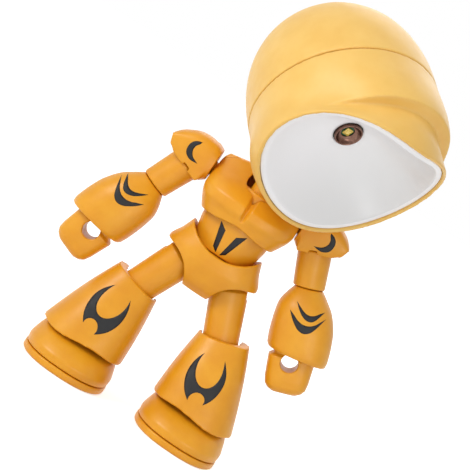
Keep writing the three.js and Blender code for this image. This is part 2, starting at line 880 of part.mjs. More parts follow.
function neckCollar() {
  const inside = neck.footRadius + gap;
  const step = collar.bottom + collar.shoulderHeight;
  const edge = gap;
  const outside = turned([
    [0, collar.bottom],
    [collar.radius, collar.bottom],
    [collar.radius, collar.top - edge],
    [collar.radius - edge, collar.top],
    [0, collar.top],
  ]);
  const lower = rod(inside, at(0, 0, collar.bottom - overrun), at(0, 0, step));
  const upper = rod(neck.shaftRadius + gap, at(0, 0, step - overrun), at(0, 0, collar.top + overrun));
  return outside.subtract(lower).subtract(upper);
}

// sections of the chest, whose top rises towards the neck
function chestRows(shares, inset) {
  const rows = stack(chest, shares, squareness.chest, inset);
  rows.forEach((row, i) => {
    const rise = chest.neckRise * shares[i][0] ** chest.neckRisePower;
    row.forEach((point) => {
      point.z += rise * (1 - Math.abs(point.x) / chest.halfWidth);
    });
  });
  return rows;
}

// chest as one hollow body, before it is split
function chestHollow() {
  const rows = chestRows(chestShares, 0);
  const arch = (point) => chest.hemArch * Math.exp(-((point.x / chest.hemArchWidth) ** 2));
  rows[0].forEach((point) => {
    point.z += point.y < 0 ? arch(point) : 0;
  });
  const inside = chestRows(chestInsideShares, chest.wall);
  const mouth = inside[0].map((point) => point.clone().add(at(0, 0, -overrun)));
  const neckHole = rod(
    collar.radius + gap,
    at(0, -neck.setForward, collar.bottom - overrun),
    at(0, -neck.setForward, chest.top * 2),
  );
  const axle = shoulder.axleRadius + gap;
  const reach = chest.halfWidth + overrun;
  const axleEnd = (side) => at(side * reach, shoulder.setBack, shoulder.height);
  const axleHole = rod(axle, axleEnd(-1), axleEnd(1));
  const rib = block(
    at(-chest.ribHalfWidth, -chest.front * 2, abdomen.top + gap),
    at(chest.ribHalfWidth, chest.ribDepth - chest.front, collar.top),
  );
  return skin(rows)
    .subtract(skin([mouth, ...inside]).subtract(rib))
    .subtract(pecGroove())
    .subtract(neckHole)
    .subtract(axleHole);
}

// the V groove between the two halves of the breast
function pecGroove() {
  const half = chest.grooveWidth / 2;
  const row = (z, y, depth) => [at(-half, y - overrun, z), at(half, y - overrun, z), at(0, y + depth, z)];
  const [, first, ...middle] = chestShares.slice(0, grooveRows);
  const last = middle.pop();
  const rows = middle.map(([h, , f]) => row(chest.bottom + h * chest.height, -f * chest.front, chest.grooveDepth));
  const start = row(chest.bottom + chest.grooveBottom, -first[2] * chest.front, chest.grooveStart);
  const end = row(chest.bottom + last[0] * chest.height, -last[2] * chest.front, gap);
  return skin([start, ...rows, end]);
}

const chestRod = (side, radius, from, to) => {
  const x = side * chestBoss.side;
  return rod(radius, at(x, from, chestBoss.height), at(x, to, chestBoss.height));
};
const chestRods = (radius, from, to) => chestRod(-1, radius, from, to).add(chestRod(1, radius, from, to));

const chestSolidOuter = () => skin(chestRows(chestShares, 0));

function chestFront() {
  const low = shoulder.setBack - screw.shankLength / 2;
  const boss = chestRods(chestBoss.radius, -chest.front, shoulder.setBack - gap / 2).intersect(chestSolidOuter());
  return chestHollow()
    .intersect(halfSpace('y', -chest.front * 2, shoulder.setBack - gap / 2))
    .add(boss)
    .subtract(chestRods(screw.shankRadius + gap, low - gap, shoulder.setBack + overrun));
}

function chestBack() {
  const seat = shoulder.setBack + screw.shankLength / 2;
  const rods = chestRods(chestBoss.radius + gap, shoulder.setBack + gap / 2, chest.back * 2);
  const boss = rods.intersect(chestSolidOuter());
  return chestHollow()
    .intersect(halfSpace('y', shoulder.setBack + gap / 2, chest.back * 2))
    .add(boss)
    .subtract(chestRods(screw.headRadius + gap, seat, chest.back + overrun))
    .subtract(chestRods(screw.shankRadius + gap, shoulder.setBack - overrun, seat + gap));
}

function chestScrew(side) {
  const seat = shoulder.setBack + screw.shankLength / 2 + gap;
  const cap = chestRod(side, screw.headRadius, seat, seat + screw.headHeight);
  return cap.add(chestRod(side, screw.shankRadius, seat - screw.shankLength + gap, seat + gap));
}

function abdomenBarrel() {
  const size = { ...abdomen, front: abdomen.halfDepth, back: abdomen.halfDepth };
  const bore = rod(waistPost.radius + gap, at(0, 0, abdomen.bottom - overrun), at(0, 0, waistPost.top + gap));
  return skin(stack(size, abdomenShares, squareness.abdomen)).subtract(bore);
}

function pelvisShell() {
  const size = { ...pelvis, front: pelvis.halfDepth, back: pelvis.halfDepth };
  const outer = skin(stack(size, pelvisShares, squareness.pelvis));
  const inside = (shares, sides) => stack(size, shares, squareness.pelvis, pelvis.wall, sides);
  const cupRows = inside(pelvisShares.slice(pelvisWidest), ovalSides);
  const mouth = cupRows.at(-1).map((point) => point.clone().add(at(0, 0, overrun)));
  const cup = skin([...cupRows, mouth]).intersect(halfSpace('z', pelvis.cupFloor, pelvis.top * 2));
  const below = pelvis.cupFloor - pelvis.webThickness;
  const cavity = skin(inside(pelvisShares, insideSides)).intersect(halfSpace('z', 0, below));
  const hubTop = pelvis.cupFloor - pelvis.webThickness / 2;
  const hub = block(
    at(-pelvis.hubHalfWidth, -pelvis.hubHalfDepth, pelvis.hubBottom),
    at(pelvis.hubHalfWidth, pelvis.hubHalfDepth, hubTop),
  );
  const post = rod(waistPost.radius, at(0, 0, pelvis.cupFloor - gap), at(0, 0, waistPost.top));
  const dipRadius = (pelvis.dipHalfWidth ** 2 + pelvis.dip ** 2) / (2 * pelvis.dip);
  const dipCentre = pelvis.top - pelvis.dip + dipRadius;
  const reach = pelvis.halfDepth * 2;
  const dip = rod(dipRadius, at(0, -reach, dipCentre), at(0, reach, dipCentre), dipRadius, headSides);
  const axles = rod(
    hip.axleRadius + gap,
    at(-pelvis.halfWidth / 2, 0, hip.height),
    at(pelvis.halfWidth / 2, 0, hip.height),
  );
  let shell = outer.subtract(cup).subtract(cavity).subtract(dip).add(hub);
  for (const side of [-1, 1]) {
    const out = side * pelvis.legCutOut;
    const cut = rod(
      pelvis.legCutRadius,
      at(out, -reach, pelvis.legCutHeight),
      at(out, reach, pelvis.legCutHeight),
      pelvis.legCutRadius,
      headSides,
    );
    shell = shell.subtract(cut);
  }
  return shell.add(post).subtract(axles);
}

// Legs, each in a frame at its joint, with the limb along -Z

function hipKnuckle() {
  const half = hip.tongueWidth / 2;
  const axle = rod(hip.axleRadius, at(gap - hip.out, 0, 0), at(-hip.ballRadius - gap, 0, 0));
  const tongue = rod(hip.tongueRadius, at(0, -half, 0), at(0, half, 0));
  const inner = pelvis.hubHalfWidth + gap - hip.out;
  const arm = block(at(inner, -half, -hip.axleRadius), at(0, half, hip.axleRadius));
  const bore = rod(pin.radius + gap, at(0, -half - overrun, 0), at(0, half + overrun, 0));
  return axle.add(tongue).add(arm).subtract(bore);
}

const crossPin = (half) => rod(pin.radius, at(0, -half, 0), at(0, half, 0));

const domeSteps = 3;

function thighBar() {
  const profile = [[0, hip.ballRadius]];
  for (let i = domeSteps - 1; i >= 0; i -= 1) {
    const turn = (i / domeSteps) * (Math.PI / 2);
    profile.push([hip.ballRadius * Math.cos(turn), hip.ballRadius * Math.sin(turn)]);
  }
  profile.push([thigh.radius - thigh.shoulderEdge, -thigh.shoulder]);
  profile.push([thigh.radius, -thigh.shoulder - thigh.shoulderEdge]);
  profile.push([thigh.kneeRadius, -thigh.length]);
  for (let i = 1; i <= domeSteps; i += 1) {
    const turn = (i / domeSteps) * (Math.PI / 2);
    profile.push([thigh.kneeRadius * Math.cos(turn), -thigh.length - thigh.kneeRadius * Math.sin(turn)]);
  }
  profile[profile.length - 1][0] = 0;
  const half = hip.tongueWidth / 2 + gap;
  const low = -hip.ballRadius - gap;
  const slot = block(at(-thigh.radius * 2, -half, low), at(thigh.radius * 2, half, hip.ballRadius * 2));
  const hipBore = rod(pin.radius + gap, at(0, -thigh.radius * 2, 0), at(0, thigh.radius * 2, 0));
  const kneeHalf = thigh.radius * 2;
  const kneeBore = rod(pin.radius + gap, at(-kneeHalf, 0, -thigh.length), at(kneeHalf, 0, -thigh.length));
  return turned(profile).subtract(slot).subtract(hipBore).subtract(kneeBore);
}

// the shin's outer form at a share of the way down, in the knee's upright frame
function shinRow(share, inset, sides) {
  const half = shin.rimHalfWidth + (shin.hemHalfWidth - shin.rimHalfWidth) * share;
  const swell = shin.swell * Math.sin(share * Math.PI);
  const front = shin.rimHalfDepth + (shin.hemFront - shin.rimHalfDepth) * share + swell;
  const back = shin.rimHalfDepth + (shin.hemBack - shin.rimHalfDepth) * share + swell;
  const z = shin.rimDrop - (shin.rimDrop + shin.hemDrop) * share;
  const middle = shin.hemOut * share;
  const row = oval(z, half + swell / 2 - inset, front - inset, back - inset, squareness.shin, middle, sides);
  const slope = Math.tan(shin.rimTilt) * (1 - share);
  const wave = share ** shin.hemWavePower * shin.hemWave;
  row.forEach((point) => {
    point.z += (point.x - middle) * slope;
    point.z += point.y < 0 ? wave * Math.cos((point.x / half) * Math.PI * shin.hemWaves) : 0;
  });
  return row;
}

function shinArmour() {
  const outer = skin(shinRowShares.map((share) => shinRow(share, 0, ovalSides)));
  const innerRows = shinInsideShares.map((share) => shinRow(share, shin.wall, insideSides));
  const past = innerRows.at(-1).map((point) => point.clone().add(at(0, 0, -overrun * 2)));
  const hollow = skin([...innerRows, past]);
  const webTop = -shin.webTop;
  const lower = hollow.intersect(halfSpace('z', -shin.hemDrop * 2, webTop - shin.webThickness));
  const pocketRadius = thigh.radius + limbSlack;
  const up = at(-Math.sin(thigh.lean), 0, Math.cos(thigh.lean)).multiplyScalar(shin.hemDrop);
  const room = swingRoom(pocketRadius, pocketRadius, shin.hemDrop, 0, knee.bend)
    .rotate([180, 0, 0])
    .rotate([0, -thigh.lean / degrees, 0])
    .intersect(halfSpace('y', shin.bendRoomStart, shin.hemDrop));
  const pocket = ball(pocketRadius, at(0, 0, 0)).add(rod(pocketRadius, at(0, 0, 0), up)).add(room);
  const bore = rod(
    pin.radius + gap,
    kneeAxis(1).multiplyScalar(-knee.pinHalf - gap),
    kneeAxis(1).multiplyScalar(knee.pinHalf + gap),
  );
  return outer.subtract(lower).subtract(pocket).add(ankleCheeks(hollow)).subtract(bore).subtract(anklePinBore());
}

const kneeAxis = (side) => at(Math.cos(thigh.lean), 0, side * Math.sin(thigh.lean));

const anklePlace = () => at(ankle.out, 0, -ankle.drop);
const ankleCheekOut = () => ankle.tongueWidth / 2 + gap + ankle.cheekThickness;

function anklePinBore() {
  const place = anklePlace();
  const half = ankleCheekOut() + gap;
  return rod(pin.radius + gap, place.clone().add(at(-half, 0, 0)), place.clone().add(at(half, 0, 0)));
}

// the two cheeks that hang from the shin's web and hold the ankle pin
function ankleCheeks(hollow) {
  const place = anklePlace();
  const inner = ankle.tongueWidth / 2 + gap;
  const outer = ankleCheekOut();
  const top = -shin.webTop - shin.webThickness / 2;
  let all = null;
  for (const [from, to] of [[-outer, -inner], [inner, outer]]) {
    const round = rod(ankle.cheekRadius, place.clone().add(at(from, 0, 0)), place.clone().add(at(to, 0, 0)));
    const plate = block(
      at(place.x + from, -ankle.cheekRadius, place.z),
      at(place.x + to, ankle.cheekRadius, top),
    );
    const one = round.add(plate);
    all = all ? all.add(one) : one;
  }
  const middle = block(at(0, -ankle.cheekRadius, place.z), at(ankle.out * 2, ankle.cheekRadius, top));
  return all.intersect(hollow.add(middle));
}

// Foot, in a frame at the ankle pin

const ankleHeight = () => hip.height - thigh.length * Math.cos(thigh.lean) - ankle.drop;
const footMiddle = () => {
  const kneeOut = hip.out + thigh.length * Math.sin(thigh.lean);
  return foot.middleOut - kneeOut - ankle.out;
};

function footRows(bottom, top, shares) {
  return shares.map(([h, w, f, b]) => {
    const [half, front, back] = [w * foot.halfWidth, f * foot.front, b * foot.back];
    return oval(bottom + h * (top - bottom), half, front, back, squareness.foot, footMiddle());
  });
}

function footUpper() {
  const floor = foot.soleThickness + gap - ankleHeight();
  const top = foot.upperTop - ankleHeight();
  const half = ankle.tongueWidth / 2;
  const tongue = rod(ankle.cheekRadius, at(-half, 0, 0), at(half, 0, 0)).add(
    block(at(-half, -ankle.cheekRadius, top - overrun), at(half, ankle.cheekRadius, 0)),
  );
  const bore = rod(pin.radius + gap, at(-half - overrun, 0, 0), at(half + overrun, 0, 0));
  return skin(footRows(floor, top, footShares)).add(tongue).subtract(bore);
}

function footSole() {
  const low = -ankleHeight();
  const high = low + foot.soleThickness;
  const edge = foot.soleEdge / foot.halfWidth;
  const shares = [
    [0, 1 - edge, 1 - edge, 1 - edge],
    [foot.soleEdge / foot.soleThickness, 1, 1, 1],
    [1, 1, 1, 1],
  ];
  return skin(footRows(low, high, shares));
}

// Arms

function shoulderPad() {
  const rows = padShares.map(([along, centre, high, deep]) => {
    const x = along * shoulder.width;
    const halfDepth = deep * shoulder.halfDepth;
    const row = oval(0, high * shoulder.halfHeight, halfDepth, halfDepth, squareness.pad);
    return row.map((point) => at(x, point.y, centre * shoulder.halfHeight + point.x));
  });
  const wall = shoulder.wall + gap;
  const place = armPlace();
  const half = upperArm.radius + limbSlack;
  const low = upperArm.lean - upperArm.lower;
  const cut = swingRoom(half, half, shoulder.width, -upperArm.lean - upperArm.raise, -low)
    .rotate([0, 0, -90])
    .translate([place.x, place.y, place.z])
    .intersect(halfSpace('x', wall, shoulder.width * 2));
  const axleStart = -shoulder.flangeSet - shoulder.flangeThickness;
  const axle = rod(shoulder.axleRadius, at(axleStart, 0, 0), at(gap, 0, 0));
  const flange = rod(shoulder.flangeRadius, at(axleStart, 0, 0), at(axleStart + shoulder.flangeThickness, 0, 0));
  const end = shoulder.halfDepth - shoulder.pinCover;
  const bore = rod(pin.radius + gap, at(place.x, -end, place.z), at(place.x, end, place.z));
  return skin(rows).subtract(cut).add(axle).add(flange).subtract(bore);
}

// the raise pin in the pad's frame
const armPlace = () => at(upperArm.out - shoulder.inner, 0, upperArm.height - shoulder.height);

function upperArmBar() {
  const profile = [[0, upperArm.ballRadius]];
  for (let i = domeSteps - 1; i >= 0; i -= 1) {
    const turn = (i / domeSteps) * (Math.PI / 2);
    profile.push([upperArm.ballRadius * Math.cos(turn), upperArm.ballRadius * Math.sin(turn)]);
  }
  profile.push([upperArm.radius, -upperArm.shoulder]);
  profile.push([upperArm.lowRadius, -upperArm.length - overrun]);
  profile.push([0, -upperArm.length - overrun]);
  const bore = rod(pin.radius + gap, at(0, -upperArm.radius * 2, 0), at(0, upperArm.radius * 2, 0));
  const flangeEnd = -upperArm.spigotLength;
  const flangeStart = flangeEnd + upperArm.flangeThickness;
  const spigot = rod(upperArm.spigotRadius, at(0, 0, overrun), at(0, 0, flangeStart - gap)).add(
    rod(upperArm.flangeRadius, at(0, 0, flangeStart), at(0, 0, flangeEnd)),
  );
  // the lower end is cut square to the elbow's axis, which leans less than the arm
  const toElbow = (solid) =>
    solid.rotate([0, (upperArm.lean - forearm.lean) / degrees, 0]).translate([0, 0, -upperArm.length]);
  const below = toElbow(halfSpace('z', -upperArm.length, 0));
  return turned(profile).subtract(bore).subtract(below).add(toElbow(spigot));
}

// Forearm, in a frame at the elbow's face

function forearmRow([share, halfShare, shift], inset, sides) {
  const half = forearm.bottomHalfWidth * halfShare - inset;
  const deep = forearm.bottomHalfWidth * halfShare * forearm.depthShare - inset;
  const [z, middle] = [-gap - share * forearm.length, shift * forearm.outward];
  const row = oval(z, half, deep, deep, squareness.forearm, middle, sides);
  row.forEach((point) => {
    point.z -= point.x * forearm.mouthSlope * share ** forearm.mouthSlopePower;
  });
  return row;
}

function forearmBell() {
  const outer = skin(forearmShares.map((shares) => forearmRow(shares, 0, ovalSides)));
  const innerRows = forearmInsideShares.map((shares) => forearmRow(shares, forearm.wall, insideSides));
  const past = innerRows.at(-1).map((point) => point.clone().add(at(0, 0, -overrun)));
  const hollow = skin([...innerRows, past]);
  const mouthTop = -forearm.length + forearm.mouthDepth;
  const floorTop = mouthTop + forearm.floor;
  const mouth = hollow.intersect(halfSpace('z', -forearm.length * 2, mouthTop));
  const room = hollow.intersect(halfSpace('z', floorTop, -forearm.cavityTop));
  const elbowBore = rod(upperArm.spigotRadius + gap, at(0, 0, overrun), at(0, 0, -forearm.cavityTop - overrun));
  const wristBore = rod(
    fist.spigotRadius + gap,
    at(0, 0, floorTop + overrun),
    at(0, 0, mouthTop - overrun),
  );
  return outer.subtract(mouth).subtract(room).subtract(elbowBore).subtract(wristBore);
}

// Fist, in a frame at the forearm's floor

function fistBlock() {
  const start = fist.stem + fist.bevel / 2;
  const table = fistShares.map(([along, wide, deep]) => [
    start + along * (fist.length - start),
    wide * fist.halfWidth,
    deep * fist.halfDepth,
  ]);
  table.unshift([gap, fist.stemHalfWidth, fist.stemHalfDepth], [fist.stem, fist.stemHalfWidth, fist.stemHalfDepth]);
  const rows = table.map(([s, half, deep]) => oval(-s, half, deep, deep, squareness.fist));
  const hole = at(-fist.holeIn, 0, -fist.holeDrop);
  const reach = fist.halfDepth + overrun;
  const through = (radius, x, z) => rod(radius, at(x, -reach, z), at(x, reach, z));
  const notchX = -fist.halfWidth;
  const notchZ = -fist.notchDrop;
  const spigotTop = forearm.floor + gap * 2 + fist.flangeThickness;
  const spigot = rod(fist.spigotRadius, at(0, 0, -gap * 2), at(0, 0, spigotTop));
  const flange = rod(fist.flangeRadius, at(0, 0, spigotTop - fist.flangeThickness), at(0, 0, spigotTop));
  return skin(rows)
    .subtract(through(fist.holeRadius, hole.x, hole.z))
    .subtract(through(fist.notchRadius, notchX, notchZ))
    .subtract(thumbGroove(hole, notchX, notchZ))
    .add(spigot)
    .add(flange);
}

// the crease on the front that parts the thumb from the fingers
function thumbGroove(hole, notchX, notchZ) {
  const face = -fist.halfDepth;
  const half = fist.grooveWidth / 2;
  const row = (x, z) => [
    at(x, face - overrun, z - half),
    at(x, face - overrun, z + half),
    at(x, face + fist.grooveDepth, z),
  ];
  return skin([row(hole.x, hole.z), row(notchX - overrun, notchZ)]);
}

// Assembly

const lamp = new THREE.Group();
const { headYellow, bodyOrange, white, chrome, phosphor, steel, black, cellBlue, board } = finishes;

function buildHead(parent) {
  const turn = jointGroup(parent, 'neck_turn', 0, -neck.setForward, 0);
  add(turn, 'neck_post', neckPost(), bodyOrange);
  const tilt = jointGroup(turn, 'neck_tilt', 0, 0, neck.pivotHeight);
  tilt.rotation.order = 'ZXY';
  tilt.rotation.z = head.yaw;
  tilt.rotation.x = head.pitch;
  const pinHalf = neck.eyeWidth / 2 + neck.lugWidth + gap;
  const shell = jointGroup(tilt, 'head_seam', 0, -gap / 2, head.pivotDrop);
  add(tilt, 'neck_pin', rod(pin.radius, at(-pinHalf, 0, 0), at(pinHalf, 0, 0)), steel);
  add(shell, 'crown_shell', crownShell(), headYellow);
  add(shell, 'hood_shell', hoodShell(), headYellow);
  add(shell, 'reflector', reflectorBowl(), white);
  add(shell, 'led_cup', ledCup(), chrome);
  add(shell, 'led_emitter', ledEmitter(), phosphor);
  add(shell, 'led_board', ledBoard(), board);
  add(shell, 'battery_tray', batteryTray(), black);
  for (let i = 0; i < cellCount; i += 1) {
    add(shell, `battery_cell_${i + 1}`, batteryCell(i), cellBlue);
  }
  add(shell, 'contact_strip_left', contactStrip(1), steel);
  add(shell, 'contact_strip_right', contactStrip(-1), steel);
  add(shell, 'switch_body', switchBody(), black);
  headBossTurns.forEach((angle) => {
    add(shell, `head_screw_${angle > 0 ? 'left' : 'right'}`, headScrew(angle), steel);
  });
  add(shell, 'power_button', powerButton(), headYellow);
}

function buildTorso(parent) {
  const collarGroup = jointGroup(parent, 'collar_place', 0, -neck.setForward, 0);
  add(collarGroup, 'neck_collar', neckCollar(), bodyOrange);
  add(parent, 'chest_front', chestFront(), bodyOrange);
  add(parent, 'chest_back', chestBack(), bodyOrange);
  add(parent, 'chest_screw_left', chestScrew(1), steel);
  add(parent, 'chest_screw_right', chestScrew(-1), steel);
  add(parent, 'abdomen', abdomenBarrel(), bodyOrange);
}

function buildArm(parent, side, label) {
  const swing = jointGroup(parent, `${label}_shoulder`, shoulder.inner, shoulder.setBack, shoulder.height, 0, side);
  add(swing, `shoulder_pad_${label}`, shoulderPad(), bodyOrange, side);
  const place = armPlace();
  const raise = jointGroup(swing, `${label}_raise`, place.x, 0, place.z, upperArm.lean, side);
  add(raise, `arm_pin_${label}`, crossPin(shoulder.halfDepth - shoulder.pinCover - gap), steel, side);
  add(raise, `upper_arm_${label}`, upperArmBar(), bodyOrange, side);
  const turn = forearm.lean - upperArm.lean;
  const elbow = jointGroup(raise, `${label}_elbow`, 0, 0, -upperArm.length, turn, side);
  add(elbow, `forearm_${label}`, forearmBell(), bodyOrange, side);
  const floor = -forearm.length + forearm.mouthDepth;
  const wrist = jointGroup(elbow, `${label}_wrist`, 0, 0, floor, 0, side);
  add(wrist, `fist_${label}`, fistBlock(), bodyOrange, side);
}

function buildLeg(parent, side, label) {
  const swing = jointGroup(parent, `${label}_hip`, hip.out, 0, hip.height, 0, side);
  add(swing, `hip_knuckle_${label}`, hipKnuckle(), bodyOrange, side);
  const spread = jointGroup(swing, `${label}_spread`, 0, 0, 0, thigh.lean, side);
  add(spread, `hip_pin_${label}`, crossPin(hip.ballRadius - gap), steel, side);
  add(spread, `thigh_${label}`, thighBar(), bodyOrange, side);
  const kneeGroup = jointGroup(spread, `${label}_knee`, 0, 0, -thigh.length, -thigh.lean, side);
  const [a, b] = [kneeAxis(1).multiplyScalar(-knee.pinHalf), kneeAxis(1).multiplyScalar(knee.pinHalf)];
  add(kneeGroup, `knee_pin_${label}`, rod(pin.radius, a, b), steel, side);
  add(kneeGroup, `shin_${label}`, shinArmour(), bodyOrange, side);
  const ankleGroup = jointGroup(kneeGroup, `${label}_ankle`, ankle.out, 0, -ankle.drop, 0, side);
  const half = ankleCheekOut();
  add(ankleGroup, `ankle_pin_${label}`, rod(pin.radius, at(-half, 0, 0), at(half, 0, 0)), steel, side);
  add(ankleGroup, `foot_upper_${label}`, footUpper(), bodyOrange, side);
  add(ankleGroup, `foot_sole_${label}`, footSole(), bodyOrange, side);
}

const body = new THREE.Group();
add(body, 'pelvis', pelvisShell(), bodyOrange);
buildTorso(body);
buildHead(body);
for (const [side, label] of [[1, 'left'], [-1, 'right']]) {
  buildArm(body, side, label);
  buildLeg(body, side, label);
}

// the origin is the middle of the bounding box's bottom face
body.updateMatrixWorld(true);
const box = new THREE.Box3().setFromObject(body, true);
const middle = box.getCenter(new THREE.Vector3());
body.position.set(-middle.x, -middle.y, -box.min.z);
lamp.add(body);
lamp.updateMatrixWorld(true);

export default lamp;
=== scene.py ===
import json
import math

import bpy
import numpy as np
from mathutils import Matrix, Vector
from mathutils.bvhtree import BVHTree
from mathutils.geometry import delaunay_2d_cdt


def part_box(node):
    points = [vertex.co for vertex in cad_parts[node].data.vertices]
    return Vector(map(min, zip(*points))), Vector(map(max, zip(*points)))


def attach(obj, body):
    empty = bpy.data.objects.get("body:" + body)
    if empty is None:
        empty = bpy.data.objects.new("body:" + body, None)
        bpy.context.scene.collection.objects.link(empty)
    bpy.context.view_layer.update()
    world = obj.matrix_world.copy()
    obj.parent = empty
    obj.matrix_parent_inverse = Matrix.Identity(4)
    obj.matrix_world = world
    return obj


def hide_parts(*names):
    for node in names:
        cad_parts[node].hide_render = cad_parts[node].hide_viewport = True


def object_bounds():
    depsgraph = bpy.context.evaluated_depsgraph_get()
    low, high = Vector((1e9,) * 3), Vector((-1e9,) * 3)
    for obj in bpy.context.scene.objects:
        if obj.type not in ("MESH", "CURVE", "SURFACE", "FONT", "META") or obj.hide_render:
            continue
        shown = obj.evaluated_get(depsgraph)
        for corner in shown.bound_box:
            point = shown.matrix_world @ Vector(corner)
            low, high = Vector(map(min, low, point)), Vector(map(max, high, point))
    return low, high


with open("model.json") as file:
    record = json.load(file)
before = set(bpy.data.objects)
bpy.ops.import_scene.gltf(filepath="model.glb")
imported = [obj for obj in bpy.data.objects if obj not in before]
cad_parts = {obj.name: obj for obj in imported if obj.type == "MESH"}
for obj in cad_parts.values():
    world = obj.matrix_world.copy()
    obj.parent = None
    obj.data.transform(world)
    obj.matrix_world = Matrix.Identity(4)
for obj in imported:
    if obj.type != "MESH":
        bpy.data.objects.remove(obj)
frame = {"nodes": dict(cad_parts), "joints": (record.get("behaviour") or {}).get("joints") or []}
cad_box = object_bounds()

MM = 0.001
GAP = 0.3


# Frames of the pieces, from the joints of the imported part

def joint_place(name):
    joint = next(j for j in frame["joints"] if j["name"] == name)
    return np.array(joint["pos_m"]) / MM


pelvis_low, pelvis_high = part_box("pelvis")
MIDDLE_Y = (pelvis_low.y + pelvis_high.y) / 2 / MM
THIGH_LEAN = math.radians(23.6)
ARM_LEAN = math.radians(24.05)
FOREARM_LEAN = math.radians(20.5)
HEAD_YAW = math.radians(39.6)
HEAD_PITCH = math.radians(30.6)
PIVOT_DROP = 33.0
FOOT_X = 28.0


class Place:
    """A frame in the row frame: its origin and its three axes as columns."""

    def __init__(self, origin, turn=None):
        self.origin = np.array(origin, float)
        self.turn = np.eye(3) if turn is None else np.array(turn, float)

    def inside(self, points):
        return (points - self.origin) @ self.turn

    def outside(self, points):
        return points @ self.turn.T + self.origin


def leaning(angle):
    """Axes of a limb on the left side that hangs along -Z and leans outwards."""
    return Matrix.Rotation(-angle, 3, "Y")


head_turn = Matrix.Rotation(HEAD_YAW, 3, "Z") @ Matrix.Rotation(HEAD_PITCH, 3, "X")
tilt_place = joint_place("head_tilt")
BODY = Place((0, MIDDLE_Y, 0))
HEAD = Place(tilt_place + np.array(head_turn @ Vector((0, -GAP / 2, PIVOT_DROP))), head_turn)
NECK = Place((tilt_place[0], tilt_place[1], 0))
SHOULDER = Place(joint_place("left_shoulder_swing"))
UPPER_ARM = Place(joint_place("left_arm_raise"), leaning(ARM_LEAN))
FOREARM = Place(joint_place("left_elbow_turn"), leaning(FOREARM_LEAN))
HAND = Place(joint_place("left_wrist_turn"), leaning(FOREARM_LEAN))
THIGH = Place(joint_place("left_hip_spread"), leaning(THIGH_LEAN))
SHIN = Place(joint_place("left_knee_bend"))
FOOT = Place((FOOT_X, MIDDLE_Y, 0))


# Smooth forms: each gives about the distance from a surface, positive outside

def curve(xs, ys):
    """A smooth monotone curve through points, as a function of an array."""
    xs, ys = np.array(xs, float), np.array(ys, float)
    step = np.diff(xs)
    rise = np.diff(ys) / step
    slope = np.zeros(len(xs))
    same = rise[:-1] * rise[1:] > 0
    inner = np.zeros(len(rise) - 1)
    inner[same] = 2 / (1 / rise[:-1][same] + 1 / rise[1:][same])
    slope[1:-1] = inner
    slope[0], slope[-1] = rise[0], rise[-1]

    def value(x):
        x = np.clip(x, xs[0], xs[-1])
        i = np.clip(np.searchsorted(xs, x) - 1, 0, len(step) - 1)
        t = (x - xs[i]) / step[i]
        return (
            ys[i] * (1 + 2 * t) * (1 - t) ** 2
            + slope[i] * step[i] * t * (1 - t) ** 2
            + ys[i + 1] * t * t * (3 - 2 * t)
            + slope[i + 1] * step[i] * t * t * (t - 1)
        )

    return value


def smooth(low, high, value):
    share = np.clip((value - low) / (high - low), 0, 1)
    return share * share * (3 - 2 * share)


def section(u, v, half, deep, power):
    """About the distance of (u, v) from a rounded section."""
    norm = ((np.abs(u) / half) ** power + (np.abs(v) / deep) ** power) ** (1 / power)
    return (norm - 1) * np.minimum(half, deep)


def stacked(low, high, half, front, back, shares, power):
    """A form of rounded sections up the Z axis, from a table of shares."""
    rows = np.array(shares, float)
    heights = low + rows[:, 0] * (high - low)
    halves = curve(heights, rows[:, 1] * half)
    fronts = curve(heights, rows[:, 2] * front)
    backs = curve(heights, rows[:, 3] * back)

    def level(p):
        f, b = fronts(p[:, 2]), backs(p[:, 2])
        return section(p[:, 0], p[:, 1] - (b - f) / 2, halves(p[:, 2]), (f + b) / 2, power)

    return level


FAR = 50.0  # the distance given where a form has ended


def turned(heights, radii, low=-1e3, high=1e3):
    """A round form about the Z axis, between two heights."""
    radius = curve(heights, radii)

    def level(p):
        r = np.hypot(p[:, 0], p[:, 1])
        away = (p[:, 2] < low) | (p[:, 2] > high)
        return np.where(away, FAR, r - radius(p[:, 2]))

    return level


# Rows of the torso and the feet: share of the height, then of the half width, the front and the back
CHEST_SHARES = [
    [0, 0.8, 0.844, 0.973], [0.16, 0.9, 0.91, 1], [0.306, 0.973, 1, 1],
    [0.42, 1, 0.99, 1], [0.52, 1, 0.9, 1], [0.65, 0.998, 0.68, 0.995],
    [0.785, 0.985, 0.36, 0.987], [0.92, 0.955, 0.05, 0.96], [1, 0.895, -0.12, 0.867],
]
ABDOMEN_SHARES = [
    [0, 0.8, 0.815, 0.815], [0.22, 0.88, 0.885, 0.885], [0.48, 0.945, 0.95, 0.95],
    [0.74, 0.99, 0.99, 0.99], [1, 1, 1, 1],
]
PELVIS_SHARES = [
    [0, 0.36, 0.5, 0.5], [0.15, 0.78, 0.76, 0.76], [0.31, 0.95, 0.9, 0.9],
    [0.548, 1, 1, 1], [0.786, 0.87, 0.975, 0.975], [1, 0.775, 0.94, 0.94],
]
FOOT_SHARES = [
    [0, 0.985, 0.99, 0.99], [0.25, 1, 1, 1], [0.5, 0.965, 0.94, 0.96],
    [0.75, 0.915, 0.815, 0.89], [0.92, 0.85, 0.67, 0.78], [1, 0.76, 0.55, 0.66],
]
SOLE_SHARES = [[0, 0.96, 0.97, 0.96], [0.25, 1, 1, 1], [1, 1, 1, 1]]
# Share of the width, then the middle's height, the half height and the half depth as shares
PAD_SHARES = [
    [0, 0.17, 0.8, 0.95], [0.163, 0.126, 1, 1], [0.35, 0.23, 0.95, 1], [0.58, 0.295, 0.82, 0.99],
    [0.814, 0.262, 0.59, 0.96], [0.953, 0.273, 0.317, 0.92], [1, 0.36, 0.1, 0.86],
]
